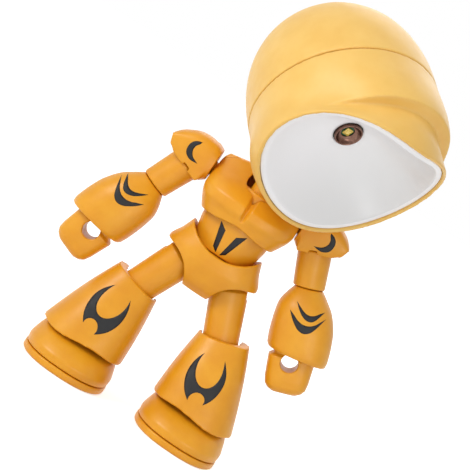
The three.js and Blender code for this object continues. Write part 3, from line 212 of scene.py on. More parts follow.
# Share of the length, then of the half width and of the way outwards
FOREARM_SHARES = [
    [0, 0.44, 0.1], [0.035, 0.5, 0.1], [0.14, 0.665, 0.1], [0.28, 0.84, 0.3], [0.42, 0.925, 0.6],
    [0.6, 0.985, 0.9], [0.78, 1, 1], [0.93, 0.985, 1.05], [1, 0.93, 1.05],
]

CHEST_LOW, CHEST_HIGH, CHEST_HALF = 89.6, 113.8, 22
CHEST_RISE, CHEST_RISE_POWER = 4.2, 4
CHEST_FRONT, CHEST_BACK = 18, 15
level_chest = stacked(CHEST_LOW, CHEST_HIGH, CHEST_HALF, CHEST_FRONT, CHEST_BACK, CHEST_SHARES, power=2.7)
ROUNDS = 8  # enough to settle a height that depends on itself


def chest_form(p):
    """The chest's sections, which rise towards the neck."""
    level_z = p[:, 2]
    inwards = np.maximum(0, 1 - np.abs(p[:, 0]) / CHEST_HALF)
    for _ in range(ROUNDS):
        share = np.clip((level_z - CHEST_LOW) / (CHEST_HIGH - CHEST_LOW), 0, 1)
        level_z = p[:, 2] - CHEST_RISE * share ** CHEST_RISE_POWER * inwards
    return level_chest(np.stack([p[:, 0], p[:, 1], level_z], axis=1))


abdomen_form = stacked(low=76.5, high=92.2, half=15.9, front=13, back=13, shares=ABDOMEN_SHARES, power=2.1)
pelvis_form = stacked(low=58.2, high=83.6, half=22, front=15.9, back=15.9, shares=PELVIS_SHARES, power=2.5)
foot_form = stacked(low=3.5, high=15.2, half=19.7, front=27, back=17, shares=FOOT_SHARES, power=2.35)
sole_form = stacked(low=0, high=3.2, half=19.7, front=27, back=17, shares=SOLE_SHARES, power=2.35)

PAD_WIDTH, PAD_HALF_HEIGHT, PAD_HALF_DEPTH = 21.5, 9.15, 9.5
pad_rows = np.array(PAD_SHARES)
pad_middle = curve(pad_rows[:, 0] * PAD_WIDTH, pad_rows[:, 1] * PAD_HALF_HEIGHT)
pad_high = curve(pad_rows[:, 0] * PAD_WIDTH, pad_rows[:, 2] * PAD_HALF_HEIGHT)
pad_deep = curve(pad_rows[:, 0] * PAD_WIDTH, pad_rows[:, 3] * PAD_HALF_DEPTH)


def pad_form(p):
    x = p[:, 0]
    level = section(p[:, 2] - pad_middle(x), p[:, 1], pad_high(x), pad_deep(x), power=3)
    return np.where(x < 0, FAR, level)


FOREARM_LENGTH, FOREARM_HALF, FOREARM_OUTWARD = 29.2, 13.7, 1.6
FOREARM_DEPTH_SHARE = 0.93
MOUTH_SLOPE, MOUTH_SLOPE_POWER = 0.18, 4
forearm_rows = np.array(FOREARM_SHARES)
forearm_half = curve(forearm_rows[:, 0], forearm_rows[:, 1] * FOREARM_HALF)
forearm_shift = curve(forearm_rows[:, 0], forearm_rows[:, 2] * FOREARM_OUTWARD)


def forearm_form(p):
    """The forearm's bell, whose sections tip towards its slanted mouth."""
    level_z = p[:, 2]
    for _ in range(ROUNDS):
        share = np.clip((-GAP - level_z) / FOREARM_LENGTH, 0, 1)
        level_z = p[:, 2] + MOUTH_SLOPE * p[:, 0] * share ** MOUTH_SLOPE_POWER
    half = forearm_half(share)
    return section(p[:, 0] - forearm_shift(share), p[:, 1], half, half * FOREARM_DEPTH_SHARE, power=2.5)


WRIST_LOW, WRIST_HALF, WRIST_DEEP = 3.9, 8.3, 6.6
FIST_HALF, FIST_DEEP = 10.1, 7.8
# Depth down the hand, then shares of the fist's half width and half depth
FIST_SHARES = [[5.1, 1, 1], [14.4, 0.94, 0.98], [17.4, 0.88, 0.93], [19.05, 0.75, 0.82], [20.1, 0.56, 0.66]]
fist_rows = np.array(FIST_SHARES)
fist_depths = np.concatenate([[GAP, WRIST_LOW], fist_rows[:, 0]])
fist_halves = np.concatenate([[WRIST_HALF, WRIST_HALF], fist_rows[:, 1] * FIST_HALF])
fist_deeps = np.concatenate([[WRIST_DEEP, WRIST_DEEP], fist_rows[:, 2] * FIST_DEEP])


def fist_form(p):
    down = -p[:, 2]
    half, deep = np.interp(down, fist_depths, fist_halves), np.interp(down, fist_depths, fist_deeps)
    return np.where(down < 0, FAR, section(p[:, 0], p[:, 1], half, deep, power=3.4))


SHIN_RIM_DROP, SHIN_HEM_DROP = 4.1, 28.7
SHIN_RIM_SLOPE = math.tan(math.radians(14.7))
SHIN_OUTWARD = 6.1
SHIN_TOP = (10.8, 11)  # half width and half depth at the rim
SHIN_WIDER, SHIN_FURTHER_FRONT, SHIN_FURTHER_BACK = 8.5, 10.5, 4.5  # what the hem adds to them
SHIN_SWELL = 1.1
HEM_WAVE, HEM_WAVE_POWER, HEM_WAVE_STRETCH = 0.9, 4, 1.2
SHIN_ROUNDS = 6


def shin_form(p):
    """The flared lower leg, from its slanted rim to its wavy hem."""
    height = SHIN_RIM_DROP + SHIN_HEM_DROP
    share = np.clip((SHIN_RIM_DROP - p[:, 2]) / height, 0, 1)
    for _ in range(SHIN_ROUNDS):
        half = SHIN_TOP[0] + SHIN_WIDER * share
        wave = share ** HEM_WAVE_POWER * HEM_WAVE * np.cos(p[:, 0] / half * math.pi * HEM_WAVE_STRETCH)
        slant = (p[:, 0] - SHIN_OUTWARD * share) * SHIN_RIM_SLOPE * (1 - share)
        level_z = p[:, 2] - slant - np.where(p[:, 1] < 0, wave, 0)
        share = np.clip((SHIN_RIM_DROP - level_z) / height, 0, 1)
    swell = SHIN_SWELL * np.sin(share * math.pi)
    half = SHIN_TOP[0] + SHIN_WIDER * share + swell / 2
    front = SHIN_TOP[1] + SHIN_FURTHER_FRONT * share + swell
    back = SHIN_TOP[1] + SHIN_FURTHER_BACK * share + swell
    across, along = p[:, 0] - SHIN_OUTWARD * share, p[:, 1] - (back - front) / 2
    return section(across, along, half, (front + back) / 2, power=2.6)


thigh_form = turned(heights=[-27.3, -2.6], radii=[7.7, 8.25], low=-27.3, high=-2.6)
upper_arm_form = turned(heights=[-19.8, -2], radii=[6.8, 7.3], low=-30, high=-2)
collar_form = turned(heights=[93.5, 107.4], radii=[7, 7])
neck_form = turned(heights=[93, 98.6, 98.7, 126], radii=[5.7, 5.7, 4.3, 4.3], low=0, high=117)


# The head's forms, in its own frame: the face looks along -Y and the brow is at +Z

HEAD_RADIUS = 39.2
CROWN_DEPTH = 47.9
BROW_REACH, BROW_RISE, BROW_SCOOP = 24.8, 3.3, 1.4
BROW_FULL, BROW_END = 0.3, 0.8  # shares of a right angle from the top
SCOOP_LENGTH = 10
JAW_SWELL = 5.2
CROWN_POWER = 2.4


# Of the rim's reach and radius: the mean, and the waves that go once and twice round it
RIM_REACH = (31.2, 4.3, 5.4)
RIM_RADIUS = (37.6, -3.35, -3.8)


def waves(sizes, turn):
    mean, once, twice = sizes
    return mean + once * np.cos(turn) + twice * np.cos(2 * turn)


def rim_reach(turn):
    return waves(RIM_REACH, turn)


def rim_radius(turn):
    return waves(RIM_RADIUS, turn)


def away_from_brow(turn):
    return np.abs(np.arctan2(np.sin(turn), np.cos(turn))) / (math.pi / 2)


def hood_radius(turn, reach):
    """Outer radius of the hood at a distance in front of the seam."""
    share = (np.maximum(0, reach) / rim_reach(turn)) ** 2
    jaw = -JAW_SWELL * np.sin(turn) ** 2 * np.cos(turn)
    base = HEAD_RADIUS + (rim_radius(turn) - HEAD_RADIUS) * share + jaw * np.sin(math.pi * share)
    away = away_from_brow(turn)
    brow = 1 - smooth(BROW_FULL, BROW_END, away)
    risen = base + smooth(0, BROW_REACH, reach) * BROW_RISE * brow
    scoop_end = SCOOP_LENGTH * np.cos(np.minimum(1, away) * math.pi / 2) + GAP
    scoop = 1 - smooth(0, scoop_end, reach - BROW_REACH)
    return np.where(reach <= BROW_REACH, risen, base - BROW_SCOOP * brow * scoop)


def hood_form(p):
    turn = np.arctan2(p[:, 0], p[:, 2])
    return np.hypot(p[:, 0], p[:, 2]) - hood_radius(turn, -p[:, 1])


def crown_form(p):
    r = np.hypot(p[:, 0], p[:, 2]) / HEAD_RADIUS
    behind = np.clip(p[:, 1], 0, None) / CROWN_DEPTH
    return ((r ** CROWN_POWER + behind ** CROWN_POWER) ** (1 / CROWN_POWER) - 1) * HEAD_RADIUS


# Making meshes

FORM_REACH = 0.7  # how near to the smooth form a face has to lie to be moved onto it
KEPT_FACES = 0.35  # share of the fine mesh's faces that is kept
BOX_EASE = 9.0  # depth over which a mesh is drawn back into the CAD's box
BOX_CLEAR = 0.01


def points_of(mesh):
    flat = np.empty(len(mesh.vertices) * 3, np.float32)
    mesh.vertices.foreach_get("co", flat)
    return flat.reshape(-1, 3).astype(float) / MM


def write_points(mesh, points):
    mesh.vertices.foreach_set("co", (points * MM).astype(np.float32).ravel())
    mesh.update()


def normals_of(mesh):
    flat = np.empty(len(mesh.vertices) * 3, np.float32)
    mesh.vertex_normals.foreach_get("vector", flat)
    return flat.reshape(-1, 3).astype(float)


def changed(mesh, kind, **settings):
    """A new mesh: this one with a modifier applied."""
    scratch = bpy.data.objects.new("scratch", mesh)
    bpy.context.scene.collection.objects.link(scratch)
    modifier = scratch.modifiers.new("made", kind)
    for key, value in settings.items():
        setattr(modifier, key, value)
    graph = bpy.context.evaluated_depsgraph_get()
    made = bpy.data.meshes.new_from_object(scratch.evaluated_get(graph))
    bpy.data.objects.remove(scratch)
    return made


def relaxed(mesh, points, rounds):
    """Points moved towards the mean of their neighbours, which rounds the edges."""
    flat = np.empty(len(mesh.edges) * 2, np.int32)
    mesh.edges.foreach_get("vertices", flat)
    a, b = flat[0::2], flat[1::2]
    count = np.bincount(flat, minlength=len(points))[:, None]
    for _ in range(rounds):
        total = np.zeros_like(points)
        for axis in range(3):
            total[:, axis] = np.bincount(a, points[b, axis], len(points))
            total[:, axis] += np.bincount(b, points[a, axis], len(points))
        points = points + 0.5 * (total / count - points)
    return points


def gradient(level, points):
    step = 0.05
    out = np.empty_like(points)
    for axis in range(3):
        move = np.zeros(3)
        move[axis] = step
        out[:, axis] = (level(points + move) - level(points - move)) / (2 * step)
    return out


FACING = (0.82, 0.97)  # a face is moved if it faces as the form does: a soft step of the cosine
FADE = 1.4  # and not at all at this many times the form's reach
LEAST_SLOPE = 0.2


def onto_form(mesh, place, level):
    """Moves the faces of a faceted mesh that lie near a smooth form onto it."""
    points = place.inside(points_of(mesh))
    facing = normals_of(mesh) @ place.turn
    for _ in range(2):
        slope = gradient(level, points)
        size = np.maximum(np.linalg.norm(slope, axis=1), LEAST_SLOPE)
        distance = level(points) / size
        towards = slope / size[:, None]
        weight = smooth(*FACING, np.sum(facing * towards, axis=1))
        weight = weight * (1 - smooth(FORM_REACH, FORM_REACH * FADE, np.abs(distance)))
        points = points - towards * (distance * weight)[:, None]
    write_points(mesh, place.outside(points))


def add_object(name, mesh, look):
    mesh.name = name
    mesh.materials.clear()
    mesh.materials.append(look)
    mesh.polygons.foreach_set("use_smooth", [True] * len(mesh.polygons))
    mesh.update()
    obj = bpy.data.objects.new(name, mesh)
    bpy.context.scene.collection.objects.link(obj)
    return obj


def eased_into_box(mesh):
    """Draws the last millimetres of a mesh that reaches out of the CAD's box back into the box."""
    points = points_of(mesh)
    for axis in range(3):
        for sign, limit in ((-1, cad_box[0][axis] / MM), (1, cad_box[1][axis] / MM)):
            value = points[:, axis] * sign
            over = value.max() - limit * sign + BOX_CLEAR
            if over > 0:
                points[:, axis] -= sign * over * smooth(value.max() - BOX_EASE, value.max(), value)
    write_points(mesh, points)
    return mesh


def moulded_mesh(node, place, level, voxel, rounds):
    """A CAD node's solid as a fine mesh with its facets on the smooth form and its edges rounded.

    Larger voxels and more rounds give rounder edges."""
    size = voxel * 1
    mesh = changed(frame["nodes"][node].data.copy(), "REMESH", mode="VOXEL", voxel_size=size * MM)
    write_points(mesh, relaxed(mesh, points_of(mesh), rounds))
    if level is not None:
        onto_form(mesh, place, level)
        write_points(mesh, relaxed(mesh, points_of(mesh), 1))
    return eased_into_box(changed(mesh, "DECIMATE", ratio=KEPT_FACES))


def mirrored(mesh):
    other = mesh.copy()
    write_points(other, points_of(other) * np.array([-1, 1, 1]))
    other.flip_normals()
    return other


def piece(name, mesh, look, body, slot, *nodes):
    obj = add_object(name, mesh, look)
    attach(obj, body)
    if nodes:
        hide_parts(*nodes)
    return obj


def loft_mesh(rows, looped=False):
    """A closed mesh through rows of points in the row frame; the ends are capped unless it is looped."""
    count = len(rows[0])
    points = np.concatenate(rows)
    faces = []
    bands = len(rows) if looped else len(rows) - 1
    for i in range(bands):
        j = (i + 1) % len(rows)
        for k in range(count):
            m = (k + 1) % count
            faces.append((i * count + k, i * count + m, j * count + m, j * count + k))
    if not looped:
        faces.append(tuple(reversed(range(count))))
        faces.append(tuple((len(rows) - 1) * count + k for k in range(count)))
    mesh = bpy.data.meshes.new("loft")
    mesh.from_pydata((points * MM).tolist(), [], faces)
    mesh.update()
    return outward(mesh)


def outward(mesh):
    """Turns the faces outwards if the mesh's volume says that they face in."""
    mesh.calc_loop_triangles()
    points = points_of(mesh)
    corners = np.empty(len(mesh.loop_triangles) * 3, np.int32)
    mesh.loop_triangles.foreach_get("vertices", corners)
    a, b, c = (points[corners.reshape(-1, 3)[:, i]] for i in range(3))
    if np.sum(a * np.cross(b, c)) < 0:
        mesh.flip_normals()
    return mesh


# Materials

def linear(code):
    """A colour of three pairs of hexadecimal digits, in linear light."""
    parts = [int(code[i:i + 2], 16) / 255 for i in (0, 2, 4)]
    return [v / 12.92 if v <= 0.04045 else ((v + 0.055) / 1.055) ** 2.4 for v in parts] + [1.0]


class Nodes:
    """The node tree of a material or the world, with short calls to add and link nodes."""

    def __init__(self, owner, output="ShaderNodeOutputMaterial"):
        self.owner = owner
        owner.use_nodes = True
        self.tree = owner.node_tree
        self.tree.nodes.clear()
        self.output = self.add(output)

    def add(self, kind, **values):
        node = self.tree.nodes.new(kind)
        for key, value in values.items():
            if key in node.inputs:
                node.inputs[key].default_value = value
            else:
                setattr(node, key, value)
        return node

    def link(self, source, target):
        self.tree.links.new(source, target)

    def noise(self, scale_mm, detail=3.0, rough=0.5):
        """Noise whose features are about scale_mm across."""
        place = self.add("ShaderNodeTexCoord")
        node = self.add("ShaderNodeTexNoise")
        node.inputs["Scale"].default_value = 1 / (scale_mm * MM)
        node.inputs["Detail"].default_value = detail
        node.inputs["Roughness"].default_value = rough
        self.link(place.outputs["Object"], node.inputs["Vector"])
        return node.outputs["Fac"]

    def ramp(self, source, stops):
        node = self.add("ShaderNodeValToRGB")
        elements = node.color_ramp.elements
        while len(elements) < len(stops):
            elements.new(0.5)
        for element, (place, colour) in zip(elements, stops):
            element.position = place
            element.color = colour
        self.link(source, node.inputs["Fac"])
        return node.outputs["Color"]

    def bump(self, source, distance_mm, strength=1.0, over=None):
        node = self.add("ShaderNodeBump")
        node.inputs["Strength"].default_value = strength
        node.inputs["Distance"].default_value = distance_mm * MM
        self.link(source, node.inputs["Height"])
        if over is not None:
            self.link(over, node.inputs["Normal"])
        return node.outputs["Normal"]

    def spread(self, source, low, high):
        """A noise, which lies mostly between 0.3 and 0.7, spread from low to high."""
        node = self.add("ShaderNodeMapRange")
        node.inputs["From Min"].default_value = 0.3
        node.inputs["From Max"].default_value = 0.7
        node.inputs["To Min"].default_value = low
        node.inputs["To Max"].default_value = high
        self.link(source, node.inputs["Value"])
        return node.outputs["Result"]


def plastic(name, dark, mid, pale, roughness, grain=0.35, glow=0.0):
    """Moulded plastic: slow colour drift, fine spark-eroded grain and a roughness that varies."""
    n = Nodes(bpy.data.materials.new(name))
    shader = n.add("ShaderNodeBsdfPrincipled")
    drift = n.noise(14.0, 4.0, 0.55)
    colour = n.ramp(drift, [(0.32, linear(dark)), (0.5, linear(mid)), (0.68, linear(pale))])
    n.link(colour, shader.inputs["Base Color"])
    wear = n.noise(3.2, 5.0, 0.6)
    n.link(n.spread(wear, roughness - 0.05, roughness + 0.06), shader.inputs["Roughness"])
    slow = n.bump(n.noise(5.0, 2.0), 0.02, 0.35)
    n.link(n.bump(n.noise(grain, 2.0), 0.012, 0.5, slow), shader.inputs["Normal"])
    shader.inputs["IOR"].default_value = 1.49
    shader.inputs["Subsurface Weight"].default_value = glow
    shader.inputs["Subsurface Radius"].default_value = (1.0, 0.42, 0.1)
    shader.inputs["Subsurface Scale"].default_value = 2.2 * MM
    n.link(shader.outputs["BSDF"], n.output.inputs["Surface"])
    return n.owner


SCRATCH = 0.4


def metal(name, dark, pale, roughness):
    """Plated metal: slightly uneven tone, fine scratches and a roughness that varies."""
    n = Nodes(bpy.data.materials.new(name))
    shader = n.add("ShaderNodeBsdfPrincipled")
    shader.inputs["Metallic"].default_value = 1.0
    tone = n.noise(2.5, 4.0, 0.6)
    n.link(n.ramp(tone, [(0.3, linear(dark)), (0.7, linear(pale))]), shader.inputs["Base Color"])
    wear = n.noise(1.2, 5.0, 0.7)
    n.link(n.spread(wear, roughness - 0.06, roughness + 0.1), shader.inputs["Roughness"])
    n.link(n.bump(n.noise(SCRATCH, 3.0), 0.006, 0.4), shader.inputs["Normal"])
    n.link(shader.outputs["BSDF"], n.output.inputs["Surface"])
    return n.owner


head_yellow = plastic("head_yellow", "EABA5C", "EDBF63", "F0C46B", 0.4, glow=0.05)
button_yellow = plastic("button_yellow", "E7B656", "EBBC60", "EFC26A", 0.36, glow=0.05)
body_orange = plastic("body_orange", "DE9412", "E39B16", "E8A31F", 0.4, glow=0.04)
ink_black = plastic("ink_black", "060709", "08090C", "0B0C10", 0.6, grain=0.6)
# Painted light: a lighter copy of the reflector's white for its flat band, which catches more light than
# the bowl
flange_white_painted_light = plastic("flange_white_painted_light", "F4F4F7", "F6F6F8", "F8F8F9", 0.35, grain=0.8)
bezel_chrome = metal("bezel_chrome", "5A3F36", "8A6A5C", 0.2)
steel = metal("steel", "9C9EA0", "C8CACC", 0.32)
nickel = metal("nickel", "A8A69E", "CFCDC4", 0.3)
black_plastic = plastic("black_plastic", "17181B", "1F2124", "282A2E", 0.5)
board_green = plastic("board_green", "1D5A38", "27694A", "327A55", 0.35, grain=0.8)
jacket_blue = plastic("jacket_blue", "2C4B78", "38598A", "48699A", 0.3, grain=1.2)


def phosphor_look():
    n = Nodes(bpy.data.materials.new("phosphor"))
    shader = n.add("ShaderNodeBsdfPrincipled")
    grain = n.noise(0.3, 3.0, 0.6)
    colour = n.ramp(grain, [(0.35, linear("E9C33C")), (0.65, linear("F6DC6C"))])
    n.link(colour, shader.inputs["Base Color"])
    n.link(n.spread(n.noise(0.8), 0.12, 0.25), shader.inputs["Roughness"])
    n.link(n.bump(grain, 0.01, 0.4), shader.inputs["Normal"])
    shader.inputs["Coat Weight"].default_value = 0.8
    shader.inputs["Coat Roughness"].default_value = 0.06
    n.link(shader.outputs["BSDF"], n.output.inputs["Surface"])
    return n.owner


phosphor = phosphor_look()


# Painted shade on the reflector: the way across the bowl along which its white is darkened, and where that
# starts and ends
PAINTED_SHADE_WAY = (0.93, 0, -0.37)  # from the bowl's brighter side to the side darkened by painted shade
PAINTED_SHADE_START, PAINTED_SHADE_END = -60, 10


def painted_shade_reflector_look():
    """Smooth white plastic with painted shade: its colour greys slowly across the bowl, away from its
    brighter side.
    """
    n = Nodes(bpy.data.materials.new("reflector_white"))
    shader = n.add("ShaderNodeBsdfPrincipled")
    place = n.add("ShaderNodeTexCoord")
    along = n.add("ShaderNodeVectorMath", operation="DOT_PRODUCT")
    n.link(place.outputs["Object"], along.inputs[0])
    along.inputs[1].default_value = PAINTED_SHADE_WAY
    share = n.add("ShaderNodeMapRange")
    share.inputs["From Min"].default_value = PAINTED_SHADE_START * MM
    share.inputs["From Max"].default_value = PAINTED_SHADE_END * MM
    n.link(along.outputs["Value"], share.inputs["Value"])
    # The ramp's greys are painted shade, not the plastic's own colour
    stops = [(0, "FBFAFB"), (0.25, "F7F6F7"), (0.5, "EDEDED"), (0.75, "E6E6E6"), (1, "E8E6E4")]
    colour = n.ramp(share.outputs["Result"], [(at, linear(code)) for at, code in stops])
    n.link(colour, shader.inputs["Base Color"])
    n.link(n.spread(n.noise(6.0, 2.0), 0.28, 0.36), shader.inputs["Roughness"])
    n.link(shader.outputs["BSDF"], n.output.inputs["Surface"])
    return n.owner


reflector_white = painted_shade_reflector_look()


# The head

piece(
    "hood", moulded_mesh("hood_shell", HEAD, hood_form, 0.45, 6),
    head_yellow, "head", "head_yellow", "hood_shell",
)
piece(
    "crown", moulded_mesh("crown_shell", HEAD, crown_form, 0.45, 5),
    head_yellow, "head", "head_yellow", "crown_shell",
)
piece(
    "power_button_cap", moulded_mesh("power_button", HEAD, None, 0.25, 8),
    button_yellow, "button", "button_yellow", "power_button",
)

HEAD_SIDES = 160


def head_row(reach, radius):
    """A row of points round the head's axis, in the row frame."""
    turn = np.arange(HEAD_SIDES) / HEAD_SIDES * 2 * math.pi
    t, r = reach(turn), radius(turn)
    return HEAD.outside(np.stack([r * np.sin(turn), -t, r * np.cos(turn)], axis=1))


FRONT_ROWS, BACK_ROWS = 34, 16
# How far each row of the flat band lies inside its edge, and how far behind its face
FLANGE_EDGE = [
    (1.9, -0.03), (1.2, -0.02), (0.5, 0), (0.2, 0.05),
    (0.06, 0.18), (0, 0.4), (0, 0.9), (0.2, 1.2),
]


def reflector_rows():
    recess, thickness, flange, throat_radius, throat_reach = 1.0, 1.2, 2.3, 6.2, 9.4
    edge_inset, bowl_power = 1.8, 1.7

    def face(turn):
        return rim_reach(turn) - recess

    def edge(turn):
        return rim_radius(turn) - edge_inset

    def bowl(share, back):
        def reach(turn):
            return throat_reach + (face(turn) - throat_reach) * share ** bowl_power - back

        def radius(turn):
            return throat_radius + share * (edge(turn) - flange - throat_radius)

        return head_row(reach, radius)

    rows = [bowl(share, 0) for share in np.linspace(0, 1, FRONT_ROWS)]
    for inset, back in FLANGE_EDGE:
        rows.append(head_row(lambda t, b=back: face(t) - b, lambda t, i=inset: edge(t) - i))
    rows += [bowl(share, thickness) for share in np.linspace(1, 0, BACK_ROWS)]
    return rows


bowl_object = piece(
    "reflector_bowl", loft_mesh(reflector_rows(), True),
    reflector_white, "head", "reflector_white", "reflector",
)
# The flat band takes the lighter white: painted light on the same white plastic as the bowl
bowl_object.data.materials.append(flange_white_painted_light)
band_start = FRONT_ROWS - 1
band_end = band_start + len(FLANGE_EDGE)
for polygon in bowl_object.data.polygons[band_start * HEAD_SIDES:band_end * HEAD_SIDES]:
    polygon.material_index = 1

CUP_SIDES = 64


def turned_rows(profile):
    """Rows round the head's axis from [radius, reach] points."""
    turn = np.arange(CUP_SIDES) / CUP_SIDES * 2 * math.pi
    rows = []
    for r, t in profile:
        ring = np.stack([r * np.sin(turn), np.full(CUP_SIDES, -t), r * np.cos(turn)], axis=1)
        rows.append(HEAD.outside(ring))
    return rows


CUP_PROFILE = [
    (2.75, 8.2), (5.6, 8.2), (5.8, 8.3), (5.85, 8.5), (5.85, 10.3), (5.82, 10.55),
    (5.7, 10.72), (5.5, 10.8), (5.3, 10.76), (5.16, 10.6), (5.0, 10.3), (4.6, 9.7),
    (4.15, 9.2), (3.7, 8.9), (3.2, 8.75), (2.9, 8.7), (2.75, 8.6),
]
piece(
    "led_reflector_cup", loft_mesh(turned_rows(CUP_PROFILE), True),
    bezel_chrome, "head", "led_bezel", "led_cup",
)


def emitter_mesh():
    """A square package with a round domed lens on it."""
    half, corner, low, high, bevel = 1.7, 0.3, 8.2, 8.8, 0.1
    dome_radius, dome_rise = 1.4, 0.42
    square = []
    for k in range(4):
        for step in range(5):
            angle = (k + step / 4) * math.pi / 2
            middle = (k + 0.5) * math.pi / 2
            sx, sz = math.copysign(1, math.cos(middle)), math.copysign(1, math.sin(middle))
            x = sx * (half - corner) + corner * math.cos(angle)
            square.append((x, sz * (half - corner) + corner * math.sin(angle)))
    square = np.array(square)

    def row(scale, reach, circle):
        angle = np.arctan2(square[:, 1], square[:, 0])
        ring = np.stack([np.cos(angle), np.sin(angle)], axis=1) * dome_radius
        flat = square * scale * (1 - circle) + ring * scale * circle
        return HEAD.outside(np.stack([flat[:, 0], np.full(len(flat), -reach), flat[:, 1]], axis=1))

    rows = [row(1, low, 0), row(1, high - bevel, 0), row(0.96, high, 0), row(1.0, high, 1)]
    rows += [row(math.cos(a), high + dome_rise * math.sin(a), 1) for a in np.linspace(0.05, 1.5, 8)]
    return loft_mesh(rows)


piece("led_chip", emitter_mesh(), phosphor, "head", "led_lens", "led_emitter")


# The neck, torso and hips

piece(
    "neck_stem", moulded_mesh("neck_post", NECK, neck_form, 0.3, 6),
    body_orange, "neck", "body_orange", "neck_post",
)
piece(
    "neck_ring", moulded_mesh("neck_collar", NECK, collar_form, 0.3, 7),
    body_orange, "torso", "body_orange", "neck_collar",
)
piece(
    "chest_front_shell", moulded_mesh("chest_front", BODY, chest_form, 0.38, 7),
    body_orange, "torso", "body_orange", "chest_front",
)
piece(
    "chest_back_shell", moulded_mesh("chest_back", BODY, chest_form, 0.42, 6),
    body_orange, "torso", "body_orange", "chest_back",
)
barrel_mesh = moulded_mesh("abdomen", BODY, abdomen_form, 0.4, 6)
piece("waist_barrel", barrel_mesh, body_orange, "torso", "body_orange", "abdomen")
piece(
    "pelvis_shell", moulded_mesh("pelvis", BODY, pelvis_form, 0.38, 6),
    body_orange, "pelvis", "body_orange", "pelvis",
)


# Arms and legs: each is made on the left and mirrored

# Where a shoulder pad's front and back walls start: how far from its middle, and how far outwards
CHEEK_DEPTH, CHEEK_START = (6.6, 7.4), (1.0, 3.0)
# How far each is drawn down, and the levels below the middle between which that sets in: all of them
# shares of the pad's half height
CHEEK_DROP, CHEEK_TOP = 0.3, (0.2, 0.7)


def hung_cheeks(mesh):
    """Draws a shoulder pad's front and back walls down, so that they hide the top of the arm."""
    points = SHOULDER.inside(points_of(mesh))
    x, z = points[:, 0], points[:, 2]
    below = (pad_middle(x) - z) / pad_high(x)
    wall = smooth(*CHEEK_DEPTH, np.abs(points[:, 1])) * smooth(*CHEEK_START, x)
    points[:, 2] = z - pad_high(x) * smooth(*CHEEK_TOP, below) * CHEEK_DROP * wall
    write_points(mesh, SHOULDER.outside(points))
    return mesh


# Label, node, body, place and smooth form, then the voxel's size and the rounds that round its edges
LIMBS = [
    ("shoulder_armour", "shoulder_pad", "shoulder", SHOULDER, pad_form, 0.28, 4),
    ("arm_bar", "upper_arm", "upper_arm", UPPER_ARM, upper_arm_form, 0.34, 6),
    ("forearm_bell", "forearm", "forearm", FOREARM, forearm_form, 0.36, 6),
    ("hand_block", "fist", "hand", HAND, fist_form, 0.3, 8),
    ("thigh_bar", "thigh", "thigh", THIGH, thigh_form, 0.36, 6),
    ("shin_armour", "shin", "shin", SHIN, shin_form, 0.42, 7),
    ("foot_shell", "foot_upper", "foot", FOOT, foot_form, 0.42, 5),
    ("foot_tread", "foot_sole", "foot", FOOT, sole_form, 0.4, 4),
]
limb_meshes = {}
for label, node, body, place, level, voxel, rounds in LIMBS:
    mesh = moulded_mesh(node + "_left", place, level, voxel, rounds)
    if label == "shoulder_armour":
        mesh = hung_cheeks(mesh)
    limb_meshes[label] = mesh
    for side, made in (("left", mesh), ("right", mirrored(mesh))):
        piece(f"{label}_{side}", made, body_orange, f"{body}_{side}", "body_orange", f"{node}_{side}")


# Black marks: thin films of ink that follow the moulded surfaces

# Each outline is a ring of arcs that meet at tips, in the X and Z of the piece that it lies on.
# An arc leaves out its last point, which starts the next arc.
SHIN_HORNS = [
    [(5.9, -1.2), (8.0, -3.5), (9.8, -6.1), (10.9, -9.0), (11.2, -12.1), (10.9, -15.2), (9.9, -18.1)],
    [(8.2, -20.8), (7.9, -19.0), (6.7, -17.7), (5.0, -17.3), (3.3, -17.8), (2.1, -19.0), (1.5, -20.6)],
    [
        (1.7, -22.4), (-0.5, -20.8), (-2.4, -18.8), (-3.8, -16.4),
        (-4.7, -13.8), (-5.0, -11.1), (-4.8, -8.3), (-4.1, -5.6),
    ],
    [
        (-3.0, -3.1), (-3.2, -6.0), (-2.8, -8.9), (-1.7, -11.5), (0.2, -13.7), (2.8, -14.9),
        (5.5, -14.4), (7.4, -12.3), (8.1, -9.5), (7.9, -6.6), (7.1, -3.9),
    ],
]
UPPER_BAND = [
    [
        (9.5, -7.0), (8.1, -8.8), (6.7, -10.6), (4.9, -11.9),
        (2.7, -11.8), (0.8, -10.6), (-0.7, -8.9), (-1.9, -7.0),
    ],
    [(-3.0, -4.9), (-1.4, -6.4), (0.1, -7.8), (1.8, -9.0), (3.8, -9.5), (5.8, -9.0), (7.6, -7.9)],
]
LOWER_BAND = [
    [
        (10.5, -9.5), (8.8, -11.9), (7.1, -14.3), (5.1, -16.4),
        (2.4, -17.2), (-0.2, -16.1), (-2.2, -13.9), (-3.8, -11.5),
    ],
    [(-5.1, -8.8), (-3.0, -10.5), (-1.0, -12.3), (1.3, -13.5), (3.9, -13.7), (6.4, -12.8), (8.4, -11.2)],
]
PAD_CRESCENT = [
    [
        (10.3, 6.3), (12.0, 5.8), (13.5, 4.7), (14.3, 3.1), (14.4, 1.2),
        (13.9, -0.5), (12.6, -1.8), (10.9, -2.5), (9.0, -2.5),
    ],
    [(7.2, -2.2), (8.8, -1.6), (10.3, -0.8), (11.4, 0.5), (11.9, 2.1), (11.6, 3.8), (10.6, 5.2)],
]
RIGHT_BAR = [[(-6.9, 89.9)], [(-3.3, 87.6)], [(-1.7, 77.5)], [(-4.1, 79.3)]]
LEFT_BAR = [[(2.0, 87.5)], [(6.0, 89.9)], [(2.4, 78.9)], [(0.2, 77.3)]]

INK_STEP, INK_GRID = 0.5, 0.8  # spacing of points along an outline and inside it
INK_LIFT, INK_SINK = 0.06, 0.25  # how far a film reaches out of the surface and into it
IN_FRONT = 60.0  # from so far before its joint the outline is cast back onto the piece
BESIDE = 5.0  # a point that misses takes the surface nearest to it, so far before the joint


